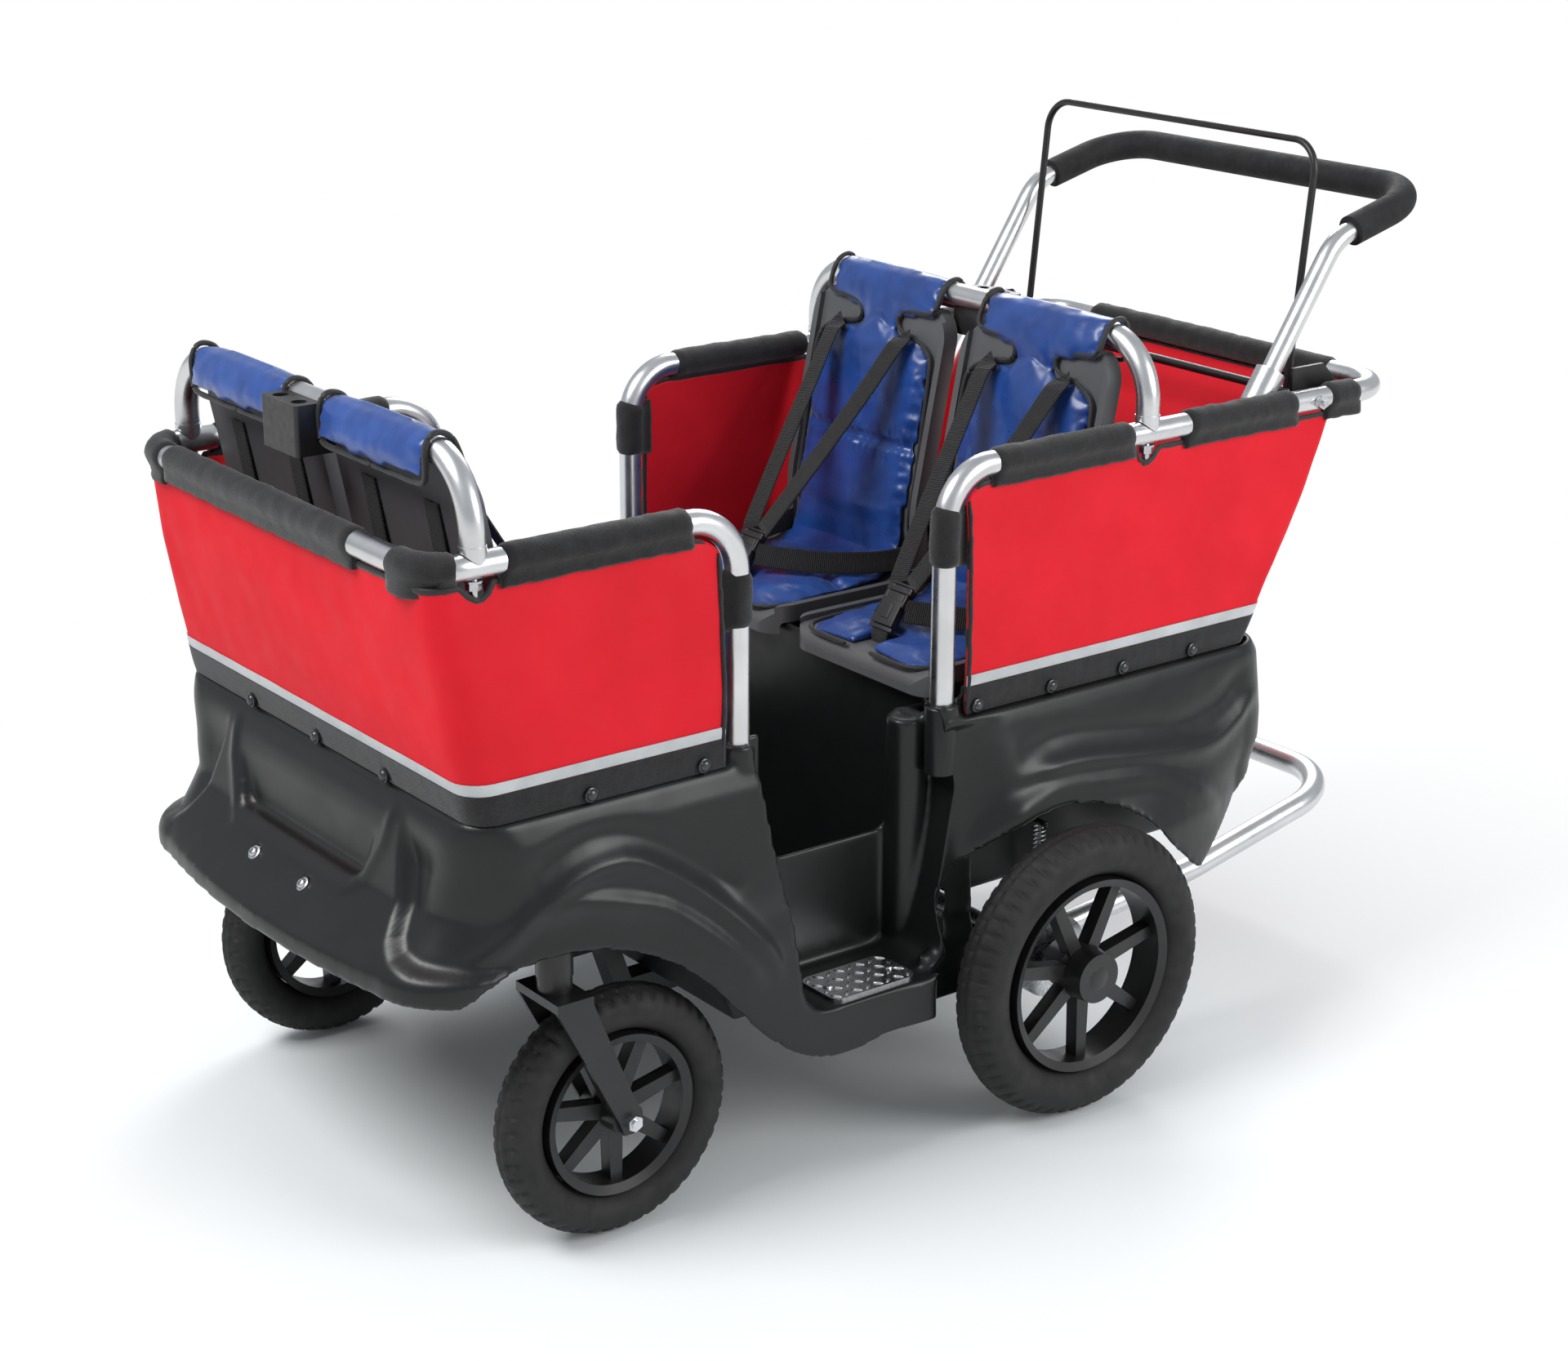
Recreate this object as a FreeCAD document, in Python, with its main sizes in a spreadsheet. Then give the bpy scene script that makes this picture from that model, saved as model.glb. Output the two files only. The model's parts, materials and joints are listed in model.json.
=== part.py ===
import FreeCAD, Part
import math
import os
import Sketcher

# Multi seat daycare stroller: a moulded tub on a steel chassis, four seats, canvas sides,
# two casters in front, two braked wheels behind, and a telescopic push handle.
# Millimetres. +X is the stroller's left, -Y its front, +Z up. The origin lies on the ground.

Vector = FreeCAD.Vector
Rotation = FreeCAD.Rotation
Placement = FreeCAD.Placement

X_AXIS = Vector(1, 0, 0)
Y_AXIS = Vector(0, 1, 0)
Z_AXIS = Vector(0, 0, 1)
SIDES = (1, -1)
SIDE_NAMES = {1: "left", -1: "right"}
TINY = 1e-6

# Every driving size: lengths and places in millimetres, angles in degrees, counts, shares.
SIZES = (
    # Clearance of seated pieces and the overrun of cutting tools
    ("fit_gap", 0.3),
    ("overrun", 20.0),
    # Bent frame tubes
    ("tube_diameter", 25.0),
    ("tube_wall", 2.0),
    ("rail_half_span", 277.0),
    ("rail_height", 696.0),
    ("post_bend", 55.0),
    ("front_post_y", -299.0),
    ("rear_post_y", -43.0),
    ("front_rail_y", -632.0),
    ("back_rail_y", 596.0),
    ("front_corner_bend", 40.0),
    ("rear_corner_bend", 50.0),
    ("front_hoop_y", -585.0),
    ("rear_hoop_y", 228.0),
    ("hoop_straight", 11.2),
    ("hoop_bend", 65.0),
    ("hoop_plug_length", 26.0),
    ("saddle_height", 6.0),
    ("saddle_diameter", 26.0),
    # Hoop bolts
    ("hoop_bolt_diameter", 8.0),
    ("hoop_bolt_reach", 20.0),
    ("hoop_bolt_tail", 7.0),
    ("canvas_notch_radius", 14.0),
    ("washer_diameter", 17.0),
    ("washer_thickness", 1.8),
    ("nut_diameter", 15.0),
    ("nut_height", 7.0),
    # Textile sleeves round the tubes, spans along the side rails, posts and cross rails
    ("sleeve_wall", 2.6),
    ("front_side_sleeve_start", -561.0),
    ("front_side_sleeve_end", -353.0),
    ("front_corner_sleeve_start", -614.0),
    ("front_corner_sleeve_reach", 222.0),
    ("front_cross_sleeve_left", 160.0),
    ("front_cross_sleeve_right", -221.0),
    ("front_post_sleeve_low", 585.0),
    ("front_post_sleeve_high", 638.0),
    ("rear_post_sleeve_low", 592.0),
    ("rear_post_sleeve_high", 638.0),
    ("rear_side_sleeve_start", 13.0),
    ("rear_side_sleeve_end", 206.0),
    ("rear_second_sleeve_start", 278.0),
    ("rear_second_sleeve_end", 446.0),
    ("rear_corner_sleeve_start", 490.0),
    ("rear_corner_sleeve_end", 544.0),
    ("back_sleeve_half", 198.0),
    # Canvas sides with belly, hem, tape and studs
    ("canvas_thickness", 2.2),
    ("canvas_belly", 4.0),
    ("canvas_top_half", 281.0),
    ("canvas_foot_half", 288.0),
    ("canvas_post_gap", 4.0),
    ("front_canvas_top_y", -636.0),
    ("front_canvas_foot_y", -596.0),
    ("front_canvas_bend", 26.0),
    ("front_foot_height", 452.5),
    ("rear_foot_height", 441.5),
    ("rear_canvas_top_side_end", 500.0),
    ("rear_canvas_top_back_half", 204.0),
    ("rear_canvas_foot_side_end", 372.0),
    ("rear_canvas_foot_back_half", 250.0),
    ("rear_canvas_foot_y", 404.0),
    ("rear_canvas_bend", 12.0),
    ("hem_height", 29.0),
    ("hem_thickness", 1.6),
    ("tape_height", 12.0),
    ("tape_thickness", 0.8),
    ("stud_diameter", 11.0),
    ("stud_height", 3.0),
    ("stud_drop", 21.0),
    ("front_stud_pitch", 133.0),
    ("front_side_stud_inset", 38.0),
    ("front_side_stud_pitch", 128.0),
    ("rear_side_stud_inset", 23.0),
    ("rear_side_stud_pitch", 101.0),
    # Moulded tub: belt, bumper, skirt and flares
    ("tub_wall", 6.0),
    ("front_belt_height", 452.0),
    ("rear_belt_height", 441.0),
    ("belt_half", 292.0),
    ("shoulder_half", 300.0),
    ("shoulder_drop", 14.0),
    ("front_belt_y", -600.0),
    ("front_shoulder_y", -610.0),
    ("panel_foot_y", -628.0),
    ("panel_foot_height", 357.0),
    ("bumper_top_y", -652.0),
    ("bumper_top_height", 325.0),
    ("bumper_y", -668.0),
    ("bumper_height", 300.0),
    ("bumper_bow", 19.0),
    ("bumper_foot_height", 281.0),
    ("front_corner_round", 85.0),
    ("belt_corner_round", 34.0),
    ("rear_corner_round", 52.0),
    ("rear_belt_y", 407.0),
    ("rear_shoulder_y", 418.0),
    ("rear_waist_y", 428.0),
    ("rear_foot_y", 417.0),
    ("skirt_foot_height", 128.0),
    ("front_flare", 28.0),
    ("step_flare", 35.0),
    ("rear_flare", 70.0),
    ("hook_flare", 50.0),
    # Lower edge of the skirt, from the bumper over the caster arch to the step
    ("arch_start_y", -620.0),
    ("arch_crown_y", -500.0),
    ("arch_crown_height", 314.0),
    ("arch_knee_y", -392.0),
    ("arch_knee_height", 272.0),
    ("arch_toe_y", -283.0),
    ("arch_toe_height", 162.0),
    ("step_foot_y", -160.0),
    ("step_foot_height", 140.0),
    ("step_tail_y", -96.0),
    ("rear_arch_radius", 172.0),
    ("arch_exit_y", 218.0),
    ("arch_inner_half", 322.0),
    ("hook_y", 272.0),
    ("hook_height", 216.0),
    ("hook_round", 18.0),
    ("tail_height", 300.0),
    # Doorway niches and sills
    ("niche_half", 232.0),
    ("step_height", 187.0),
    ("door_front_top_y", -290.0),
    ("door_front_foot_y", -252.0),
    ("door_rear_top_y", -62.0),
    ("door_rear_waist_y", -36.0),
    ("door_rear_waist_height", 370.0),
    ("door_rear_foot_y", -76.0),
    ("door_round", 34.0),
    ("sill_height", 314.0),
    ("sill_front_y", -237.0),
    ("sill_rear_y", -60.0),
    ("sill_round", 34.0),
    ("stub_diameter", 42.0),
    ("stub_half_span", 243.0),
    ("stub_y", -60.0),
    ("stub_top", 437.0),
    # Post sockets moulded into the tub
    ("socket_diameter", 37.0),
    ("front_socket_top", 471.0),
    ("rear_socket_top", 458.0),
    ("socket_depth", 60.0),
    # Basins
    ("footwell_floor", 155.0),
    ("front_basin_floor", 345.0),
    ("rear_basin_floor", 240.0),
    ("rear_basin_foot_y", 292.0),
    ("rear_basin_rise_y", 372.0),
    ("footwell_slope_top", 330.0),
    ("footwell_slope_foot_y", -264.0),
    ("basin_half", 262.0),
    ("bulkhead_setback", 7.0),
    # Front recess panel
    ("recess_y", -614.0),
    ("recess_top_half", 152.0),
    ("recess_foot_half", 116.0),
    # Step plates
    ("step_plate_inner", 262.0),
    ("step_plate_outer", 324.0),
    ("step_plate_front_y", -212.0),
    ("step_plate_rear_y", -106.0),
    ("step_plate_thickness", 3.0),
    ("step_plate_round", 12.0),
    ("step_screw_diameter", 9.0),
    ("step_screw_height", 2.0),
    ("step_screw_inset", 14.0),
    # Bumper bolts
    ("bumper_bolt_half_span", 50.0),
    ("bumper_bolt_height", 333.0),
    ("bumper_bolt_diameter", 8.0),
    ("bumper_bolt_head", 14.0),
    ("bumper_bolt_head_height", 6.0),
    # Seats
    ("seat_centre", 131.0),
    ("seat_width", 234.0),
    ("seat_surface", 473.0),
    ("seat_lip_height", 26.0),
    ("seat_depth", 265.0),
    ("seat_crease", 56.0),
    ("seat_lumbar", 64.0),
    ("seat_lumbar_height", 545.0),
    ("seat_top_setback", 18.0),
    ("seat_top_drop", 16.0),
    ("seat_wall", 13.0),
    ("seat_flange", 6.0),
    ("seat_flange_width", 9.0),
    ("seat_lip_round", 18.0),
    ("seat_crease_round", 40.0),
    ("seat_lumbar_round", 160.0),
    ("seat_top_round", 36.0),
    ("seat_front_round", 30.0),
    # Pads
    ("pad_half_width", 103.0),
    ("pad_neck_half", 33.0),
    ("pad_head_half", 96.0),
    ("pad_crown", 11.0),
    ("pad_edge", 5.0),
    ("pad_channel", 6.0),
    ("pad_shoulder_drop", 69.0),
    ("pad_shoulder_top_drop", 47.0),
    ("pad_neck_low_drop", 45.0),
    ("pad_neck_high_drop", 34.0),
    ("pad_head_low_drop", 32.0),
    ("pad_slot_half", 16.0),
    ("pad_slot_depth", 44.0),
    # Harness
    ("webbing_width", 25.0),
    ("webbing_thickness", 1.6),
    ("webbing_lift", 0.5),
    ("strap_half_spread", 57.0),
    ("strap_top_drop", 60.0),
    ("lap_anchor_height", 502.0),
    ("lap_anchor_setback", 74.0),
    ("buckle_setback", 216.0),
    ("buckle_width", 38.0),
    ("buckle_length", 52.0),
    ("buckle_thickness", 12.0),
    # Canopy pole sockets on the hoops
    ("pole_block_width", 68.0),
    ("pole_block_height", 49.0),
    ("pole_block_rise", 6.0),
    ("pole_block_depth", 42.0),
    ("pole_bore", 15.0),
    ("pole_bore_pitch", 36.0),
    ("pole_bore_depth", 38.0),
    ("pole_bore_setback", 13.0),
    ("pole_block_round", 4.0),
    # Chassis
    ("beam_width", 40.0),
    ("beam_height", 30.0),
    ("beam_wall", 2.5),
    ("beam_half_span", 250.0),
    ("spine_half_span", 64.0),
    ("spine_size", 26.0),
    ("spine_drop_y", -356.0),
    ("spine_low_height", 132.0),
    ("axle_bracket_width", 40.0),
    # Rear axle
    ("rear_axle_y", 81.0),
    ("axle_bar_diameter", 20.0),
    ("axle_bar_half", 328.0),
    ("spindle_diameter", 15.0),
    ("spindle_half", 386.0),
    # Bumper bar behind
    ("bar_diameter", 28.0),
    ("bar_wall", 2.0),
    ("bar_half_span", 200.0),
    ("bar_start_y", 64.0),
    ("bar_start_height", 104.0),
    ("bar_knee_y", 405.0),
    ("bar_knee_height", 138.0),
    ("bar_tail_y", 650.0),
    ("bar_tail_height", 190.0),
    ("bar_bend", 75.0),
    # Casters
    ("caster_half_span", 280.0),
    ("caster_y", -513.0),
    ("caster_trail", 60.5),
    ("caster_well_gap", 7.0),
    ("stem_diameter", 16.0),
    ("stem_top", 338.0),
    ("housing_diameter", 36.0),
    ("housing_low", 286.0),
    ("housing_high", 334.0),
    ("crown_low", 262.0),
    ("crown_height", 9.0),
    ("crown_washer_diameter", 34.0),
    ("crown_half_length", 20.0),
    ("fork_inner", 63.0),
    ("blade_thickness", 5.0),
    ("blade_end_half", 13.0),
    ("front_bolt_diameter", 10.0),
    ("front_bolt_head", 17.0),
    ("front_bolt_head_height", 7.0),
    # Front wheels
    ("front_wheel_radius", 128.0),
    ("front_bead_radius", 83.0),
    ("front_tyre_width", 50.0),
    ("front_rim_width", 40.0),
    ("front_hub_width", 60.0),
    ("front_hub_radius", 19.0),
    # Rear wheels
    ("rear_wheel_radius", 158.75),
    ("rear_bead_radius", 106.0),
    ("rear_tyre_width", 57.0),
    ("rear_rim_width", 46.0),
    ("rear_hub_width", 62.0),
    ("rear_hub_radius", 30.0),
    ("rear_wheel_centre", 362.0),
    ("rim_thickness", 9.0),
    ("rim_lip", 4.0),
    ("tread_shoulder", 9.0),
    ("bead_inset", 7.0),
    ("spoke_count", 7),
    ("spoke_width", 13.0),
    ("spoke_depth", 16.0),
    ("hub_bore_gap", 0.4),
    # Brakes
    ("backplate_radius", 45.0),
    ("backplate_inner", 300.0),
    ("backplate_outer", 322.0),
    ("brake_lever_thickness", 5.0),
    ("brake_lever_length", 74.0),
    ("brake_lever_width", 18.0),
    ("brake_lever_place", 291.0),
    ("brake_pin_diameter", 8.0),
    ("spring_radius", 6.5),
    ("spring_wire", 2.0),
    ("spring_turns", 9),
    ("spring_peg_height", 303.0),
    ("spring_peg_diameter", 8.0),
    # Handle
    ("handle_half_span", 243.0),
    ("handle_collar_y", 440.0),
    ("handle_collar_height", 719.0),
    ("handle_lean_share", 0.552),
    ("handle_tube_diameter", 22.0),
    ("handle_tube_wall", 2.0),
    ("socket_tube_diameter", 28.0),
    ("socket_tube_wall", 2.5),
    ("socket_tube_length", 556.0),
    ("handle_inside_length", 420.0),
    ("collar_diameter", 34.0),
    ("collar_length", 34.0),
    ("handle_bend_y", 533.0),
    ("handle_grip_y", 672.0),
    ("handle_grip_height", 897.0),
    ("handle_knee_round", 60.0),
    ("handle_corner_round", 60.0),
    ("foam_diameter", 34.0),
    ("foam_start", 25.0),
    ("plunger_pin_diameter", 6.0),
    ("plunger_knob_diameter", 15.0),
    ("plunger_knob_height", 9.0),
    ("plunger_travel", 6.0),
    ("foot_plate_width", 32.0),
    ("foot_plate_height", 7.0),
    # Brake bow
    ("bow_diameter", 8.0),
    ("bow_half_span", 215.0),
    ("bow_height", 961.0),
    ("bow_pivot_y", 500.0),
    ("bow_pivot_drop", 6.0),
    ("bow_lean_angle", 5.7),
    ("bow_bend", 34.0),
    ("bow_rod_diameter", 10.0),
    ("bow_rod_half", 259.0),
    ("bow_bracket_inner", 254.0),
    ("bow_bracket_thickness", 4.0),
    ("bow_bracket_front_y", 463.0),
    ("bow_bracket_rear_y", 534.0),
    ("bow_bracket_low", 681.0),
    ("bow_bracket_high", 728.0),
    ("bracket_bolt_y", 473.0),
    ("bracket_bolt_diameter", 8.0),
)


class Length(float):
    """A number of the sheet, or worked out from it, that knows its own expression."""

    def __new__(cls, value, text):
        number = super().__new__(cls, value)
        number.text = text
        return number

    def __add__(self, other):
        return Length(float(self) + float(other), "(%s + %s)" % (self.text, written(other)))

    def __radd__(self, other):
        return Length(float(other) + float(self), "(%s + %s)" % (written(other), self.text))

    def __sub__(self, other):
        return Length(float(self) - float(other), "(%s - %s)" % (self.text, written(other)))

    def __rsub__(self, other):
        return Length(float(other) - float(self), "(%s - %s)" % (written(other), self.text))

    def __mul__(self, other):
        return Length(float(self) * float(other), "(%s * %s)" % (self.text, written(other)))

    def __rmul__(self, other):
        return Length(float(other) * float(self), "(%s * %s)" % (written(other), self.text))

    def __truediv__(self, other):
        return Length(float(self) / float(other), "(%s / %s)" % (self.text, written(other)))

    def __neg__(self):
        return Length(-float(self), "(-1 * %s)" % self.text)


def written(value):
    """The expression of a value, or its digits when it is a plain number."""
    return value.text if isinstance(value, Length) else repr(float(value))


class Values:
    """The named sizes as attributes."""


doc = FreeCAD.newDocument("daycare_stroller")
sheet = doc.addObject("Spreadsheet::Sheet", "Sizes")
d = Values()
for row, (alias, number) in enumerate(SIZES, start=1):
    sheet.set("A%d" % row, alias)
    sheet.set("B%d" % row, str(number))
    sheet.setAlias("B%d" % row, alias)
    setattr(d, alias, Length(number, "Sizes." + alias))
doc.recompute()

nodes = []


# General helpers

def keep(item, name):
    """Names an object as a finished sub-part."""
    item.Label = name
    nodes.append(item)
    return item


def bind(item, prop, value):
    """Sets a property, and ties it to the sheet when the value comes from there."""
    if isinstance(value, Length):
        item.setExpression(prop, value.text)
    elif "." in prop:
        holder, axis = prop.rsplit(".", 1)
        item.setExpression(prop, repr(float(value)))
    else:
        setattr(item, prop, float(value))


def place(item, base, turn=None):
    """Turns an object and ties its place to the sheet."""
    item.Placement = Placement(Vector(*base), turn or Rotation())
    for axis, value in zip("xyz", base):
        if isinstance(value, Length):
            item.setExpression("Placement.Base." + axis, value.text)


def feature(name, shape, placement=None):
    """A finished sub-part from a shape."""
    item = doc.addObject("Part::Feature", name)
    item.Shape = shape
    item.Placement = placement or Placement()
    return keep(item, name)


def toward(direction):
    """The turn that brings +Z onto a direction."""
    return Rotation(Z_AXIS, Vector(*direction))


def cylinder(name, radius, height, base, direction=(0, 0, 1)):
    item = doc.addObject("Part::Cylinder", name)
    bind(item, "Radius", radius)
    bind(item, "Height", height)
    place(item, base, toward(direction))
    return item


def block(name, size, base):
    item = doc.addObject("Part::Box", name)
    bind(item, "Length", size[0])
    bind(item, "Width", size[1])
    bind(item, "Height", size[2])
    place(item, base)
    return item


def hexagon(name, radius, height, base, direction=(0, 0, 1)):
    item = doc.addObject("Part::Prism", name)
    item.Polygon = 6
    bind(item, "Circumradius", radius)
    bind(item, "Height", height)
    place(item, base, toward(direction))
    return item


def fused(name, items):
    item = doc.addObject("Part::MultiFuse", name)
    item.Shapes = items
    return item


def cut_away(name, base, tool):
    item = doc.addObject("Part::Cut", name)
    item.Base = base
    item.Tool = tool
    return item


def grouped(name, items):
    item = doc.addObject("Part::Compound", name)
    item.Links = items
    return keep(item, name)


# Paths, outlines and lofts

def rounded_edges(points, radii):
    """Straight runs joined by tangent arcs. radii has one value for each inner point."""
    edges = []
    start = points[0]
    for i in range(1, len(points) - 1):
        corner = points[i]
        radius = float(radii[i - 1])
        before = (points[i - 1] - corner).normalize()
        after = (points[i + 1] - corner).normalize()
        half_turn = (math.pi - before.getAngle(after)) / 2
        if radius <= 0 or half_turn < TINY:
            if (corner - start).Length > 0:
                edges.append(Part.LineSegment(start, corner).toShape())
            start = corner
            continue
        reach = radius * math.tan(half_turn)
        first = corner + before * reach
        last = corner + after * reach
        inward = (before + after).normalize()
        middle = corner + inward * (radius / math.cos(half_turn) - radius)
        edges.append(Part.LineSegment(start, first).toShape())
        edges.append(Part.Arc(first, middle, last).toShape())
        start = last
    edges.append(Part.LineSegment(start, points[-1]).toShape())
    return edges


def rounded_loop(corners):
    """A closed wire through corners, each a point and its rounding radius."""
    count = len(corners)
    points = [corner[0] for corner in corners]
    radii = [corner[1] for corner in corners]
    middle = (points[-1] + points[0]) / 2
    edges = rounded_edges([middle] + points + [middle], radii)
    return Part.Wire(edges)


def prism(wire, run):
    return Part.Face(wire).extrude(run)


def rod(points, radii, radius):
    """A bent round rod: cylinder and ring walls between two discs."""
    ahead = (points[1] - points[0]).normalize()
    ring = Part.Circle(points[0], ahead, float(radius)).toShape()
    walls = [Part.Face(Part.Wire(ring)).reversed()]
    start = points[0]
    for i in range(1, len(points)):
        ahead = (points[i] - start).normalize()
        if i == len(points) - 1:
            walls.append(ring.extrude(points[i] - start))
            ring = moved_by(ring, points[i] - start)
            break
        after = (points[i + 1] - points[i]).normalize()
        turn = ahead.getAngle(after)
        reach = radii[i - 1] * math.tan(turn / 2)
        run = points[i] - ahead * reach - start
        if run.Length > TINY:
            walls.append(ring.extrude(run))
            ring = moved_by(ring, run)
        axis = ahead.cross(after).normalize()
        centre = start + run + axis.cross(ahead).normalize() * radii[i - 1]
        walls.append(ring.revolve(centre, axis, math.degrees(turn)))
        ring.rotate(centre, axis, math.degrees(turn))
        start = points[i] + after * reach
    walls.append(Part.Face(Part.Wire(ring)))
    shell = Part.makeShell(walls)
    shell.sewShape()
    return Part.makeSolid(shell)


def tube(points, radii, outer, inner=None):
    """A bent round tube, hollow where an inner radius is given."""
    body = rod(points, radii, outer)
    return body.cut(rod(points, radii, inner)) if inner else body


def moved_by(shape, run):
    moved = shape.copy()
    moved.translate(run)
    return moved


def offset_path(points, distance):
    """An open path in the XY plane moved to its left by a distance."""
    moved = []
    count = len(points)
    for i in range(count):
        normals = []
        for a, b in ((i - 1, i), (i, i + 1)):
            if a < 0 or b >= count:
                continue
            run = (points[b] - points[a]).normalize()
            normals.append(Vector(-run.y, run.x, 0))
        if len(normals) == 1:
            moved.append(points[i] + normals[0] * distance)
            continue
        both = (normals[0] + normals[1]).normalize()
        moved.append(points[i] + both * (distance / both.dot(normals[0])))
    return moved


def band_wire(points, radii, thickness, shift=0.0):
    """A closed outline between a path and the same path moved left by a thickness."""
    near = offset_path(points, shift)
    far = offset_path(points, shift + thickness)
    near_radii = []
    far_radii = []
    for i, radius in enumerate(radii, start=1):
        before = points[i] - points[i - 1]
        after = points[i + 1] - points[i]
        turn = 1 if before.cross(after).z > 0 else -1
        near_radii.append(max(radius - turn * shift, 0.5 * radius))
        far_radii.append(max(radius - turn * (shift + thickness), 0.3 * radius))
    edges = rounded_edges(near, near_radii)
    edges.append(Part.LineSegment(near[-1], far[-1]).toShape())
    edges += rounded_edges(far[::-1], far_radii[::-1])
    edges.append(Part.LineSegment(far[0], near[0]).toShape())
    return Part.Wire(edges)


def lifted(shape, height):
    moved = shape.copy()
    moved.translate(Vector(0, 0, height))
    return moved


def mirrored(shape):
    """The same shape on the other side of the stroller."""
    return shape.mirror(Vector(0, 0, 0), X_AXIS)


def both_sides(shape):
    return Part.makeCompound([shape, mirrored(shape)])


def side_loop(corners):
    """A closed wire in the side view, from (y, z, radius) corners, at x = 0."""
    return rounded_loop([(Vector(0, y, z), radius) for y, z, radius in corners])


def side_prism(corners, start, end):
    """A side view outline that runs along X from start to end."""
    wire = side_loop(corners)
    wire.translate(Vector(start, 0, 0))
    return prism(wire, Vector(end - start, 0, 0))


def box_between(low, high):
    size = [b - a for a, b in zip(low, high)]
    return Part.makeBox(size[0], size[1], size[2], Vector(*low))


# Sketched bodies

def origin_plane(body, role):
    for item in body.Origin.OriginFeatures:
        if item.Role == role:
            return item
    raise ValueError(role)


def outline_sketch(body, name, role, loops, circles=()):
    """Closed outlines on an origin plane, with every corner and circle tied to the sheet."""
    sketch = body.newObject("Sketcher::SketchObject", name)
    sketch.AttachmentSupport = [(origin_plane(body, role), "")]
    sketch.MapMode = "FlatFace"
    for corners in loops:
        first = sketch.GeometryCount
        count = len(corners)
        for i in range(count):
            a = corners[i]
            b = corners[(i + 1) % count]
            line = Part.LineSegment(Vector(a[0], a[1], 0), Vector(b[0], b[1], 0))
            sketch.addGeometry(line, False)
        for i in range(count):
            link = Sketcher.Constraint("Coincident", first + i, 2, first + (i + 1) % count, 1)
            sketch.addConstraint(link)
        for i in range(count):
            tie_point(sketch, first + i, 1, corners[i])
    for centre, radius in circles:
        index = sketch.addGeometry(Part.Circle(Vector(centre[0], centre[1], 0), Z_AXIS, radius), False)
        tie_point(sketch, index, 3, centre)
        row = sketch.addConstraint(Sketcher.Constraint("Radius", index, float(radius)))
        sketch.setExpression("Constraints[%d]" % row, written(radius))
    return sketch


def tie_point(sketch, index, part, point):
    for kind, value in zip(("DistanceX", "DistanceY"), point):
        row = sketch.addConstraint(Sketcher.Constraint(kind, -1, 1, index, part, float(value)))
        if isinstance(value, Length):
            sketch.setExpression("Constraints[%d]" % row, value.text)


def new_body(name):
    return doc.addObject("PartDesign::Body", name)


def padded(body, sketch, length, middle=False):
    item = body.newObject("PartDesign::Pad", sketch.Name + "_pad")
    item.Profile = sketch
    bind(item, "Length", length)
    if middle:
        item.SideType = "Symmetric"
    doc.recompute()
    return item


def pocketed(body, sketch, length, middle=False):
    before = body.Shape.Volume
    item = body.newObject("PartDesign::Pocket", sketch.Name + "_pocket")
    item.Profile = sketch
    bind(item, "Length", length)
    if middle:
        item.SideType = "Symmetric"
    doc.recompute()
    if body.Shape.Volume >= before:
        item.Reversed = True
        doc.recompute()
    return item


def revolved(body, sketch, axis):
    item = body.newObject("PartDesign::Revolution", sketch.Name + "_turned")
    item.Profile = sketch
    item.ReferenceAxis = (sketch, [axis])
    item.Angle = 360
    doc.recompute()
    return item


def rounded(body, base, edges, radius):
    item = body.newObject("PartDesign::Fillet", body.Name + "_round")
    item.Base = (base, edges)
    bind(item, "Radius", radius)
    doc.recompute()
    return item


def edges_along(shape, direction):
    """Names of the straight edges that run along a direction."""
    names = []
    for i, edge in enumerate(shape.Edges, start=1):
        if not isinstance(edge.Curve, Part.Line):
            continue
        run = (edge.Vertexes[1].Point - edge.Vertexes[0].Point).normalize()
        if abs(abs(run.dot(direction)) - 1) < TINY:
            names.append("Edge%d" % i)
    return names


# Bent frame: rails, hoops and what fastens them

tube_radius = d.tube_diameter / 2
tube_bore = tube_radius - d.tube_wall


def rail_points(post_y, cross_y, low):
    half = d.rail_half_span
    top = d.rail_height
    return [Vector(half, post_y, low), Vector(half, post_y, top), Vector(half, cross_y, top),
            Vector(-half, cross_y, top), Vector(-half, post_y, top), Vector(-half, post_y, low)]


def bolt_hole_pair(x, y):
    """Vertical drillings for a hoop bolt, one on each side."""
    hole = Part.makeCylinder(d.hoop_bolt_diameter / 2 + d.fit_gap, 2 * d.tube_diameter,
                             Vector(x, y, d.rail_height - d.tube_diameter))
    return both_sides(hole)


def make_rails():
    front_low = d.front_socket_top - d.socket_depth
    front = tube(rail_points(d.front_post_y, d.front_rail_y, front_low),
                 [d.post_bend, d.front_corner_bend, d.front_corner_bend, d.post_bend],
                 tube_radius, tube_bore)
    rear_low = d.rear_socket_top - d.socket_depth
    rear = tube(rail_points(d.rear_post_y, d.back_rail_y, rear_low),
                [d.post_bend, d.rear_corner_bend, d.rear_corner_bend, d.post_bend],
                tube_radius, tube_bore)
    side_hole = Part.makeCylinder(d.bracket_bolt_diameter / 2 + d.fit_gap, 2 * d.tube_diameter,
                                  Vector(d.rail_half_span - d.tube_diameter, d.bracket_bolt_y,
                                         d.rail_height), X_AXIS)
    feature("front_rail", front.cut(bolt_hole_pair(d.rail_half_span, d.front_hoop_y)))
    rear = rear.cut(bolt_hole_pair(d.rail_half_span, d.rear_hoop_y))
    feature("rear_rail", rear.cut(both_sides(side_hole)))


saddle_base = d.rail_height + tube_radius + d.fit_gap
hoop_foot = saddle_base + d.saddle_height
hoop_height = hoop_foot + d.hoop_straight + d.hoop_bend
seat_top_height = hoop_height - d.seat_top_drop
bow_pivot_height = d.rail_height - d.bow_pivot_drop


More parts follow.
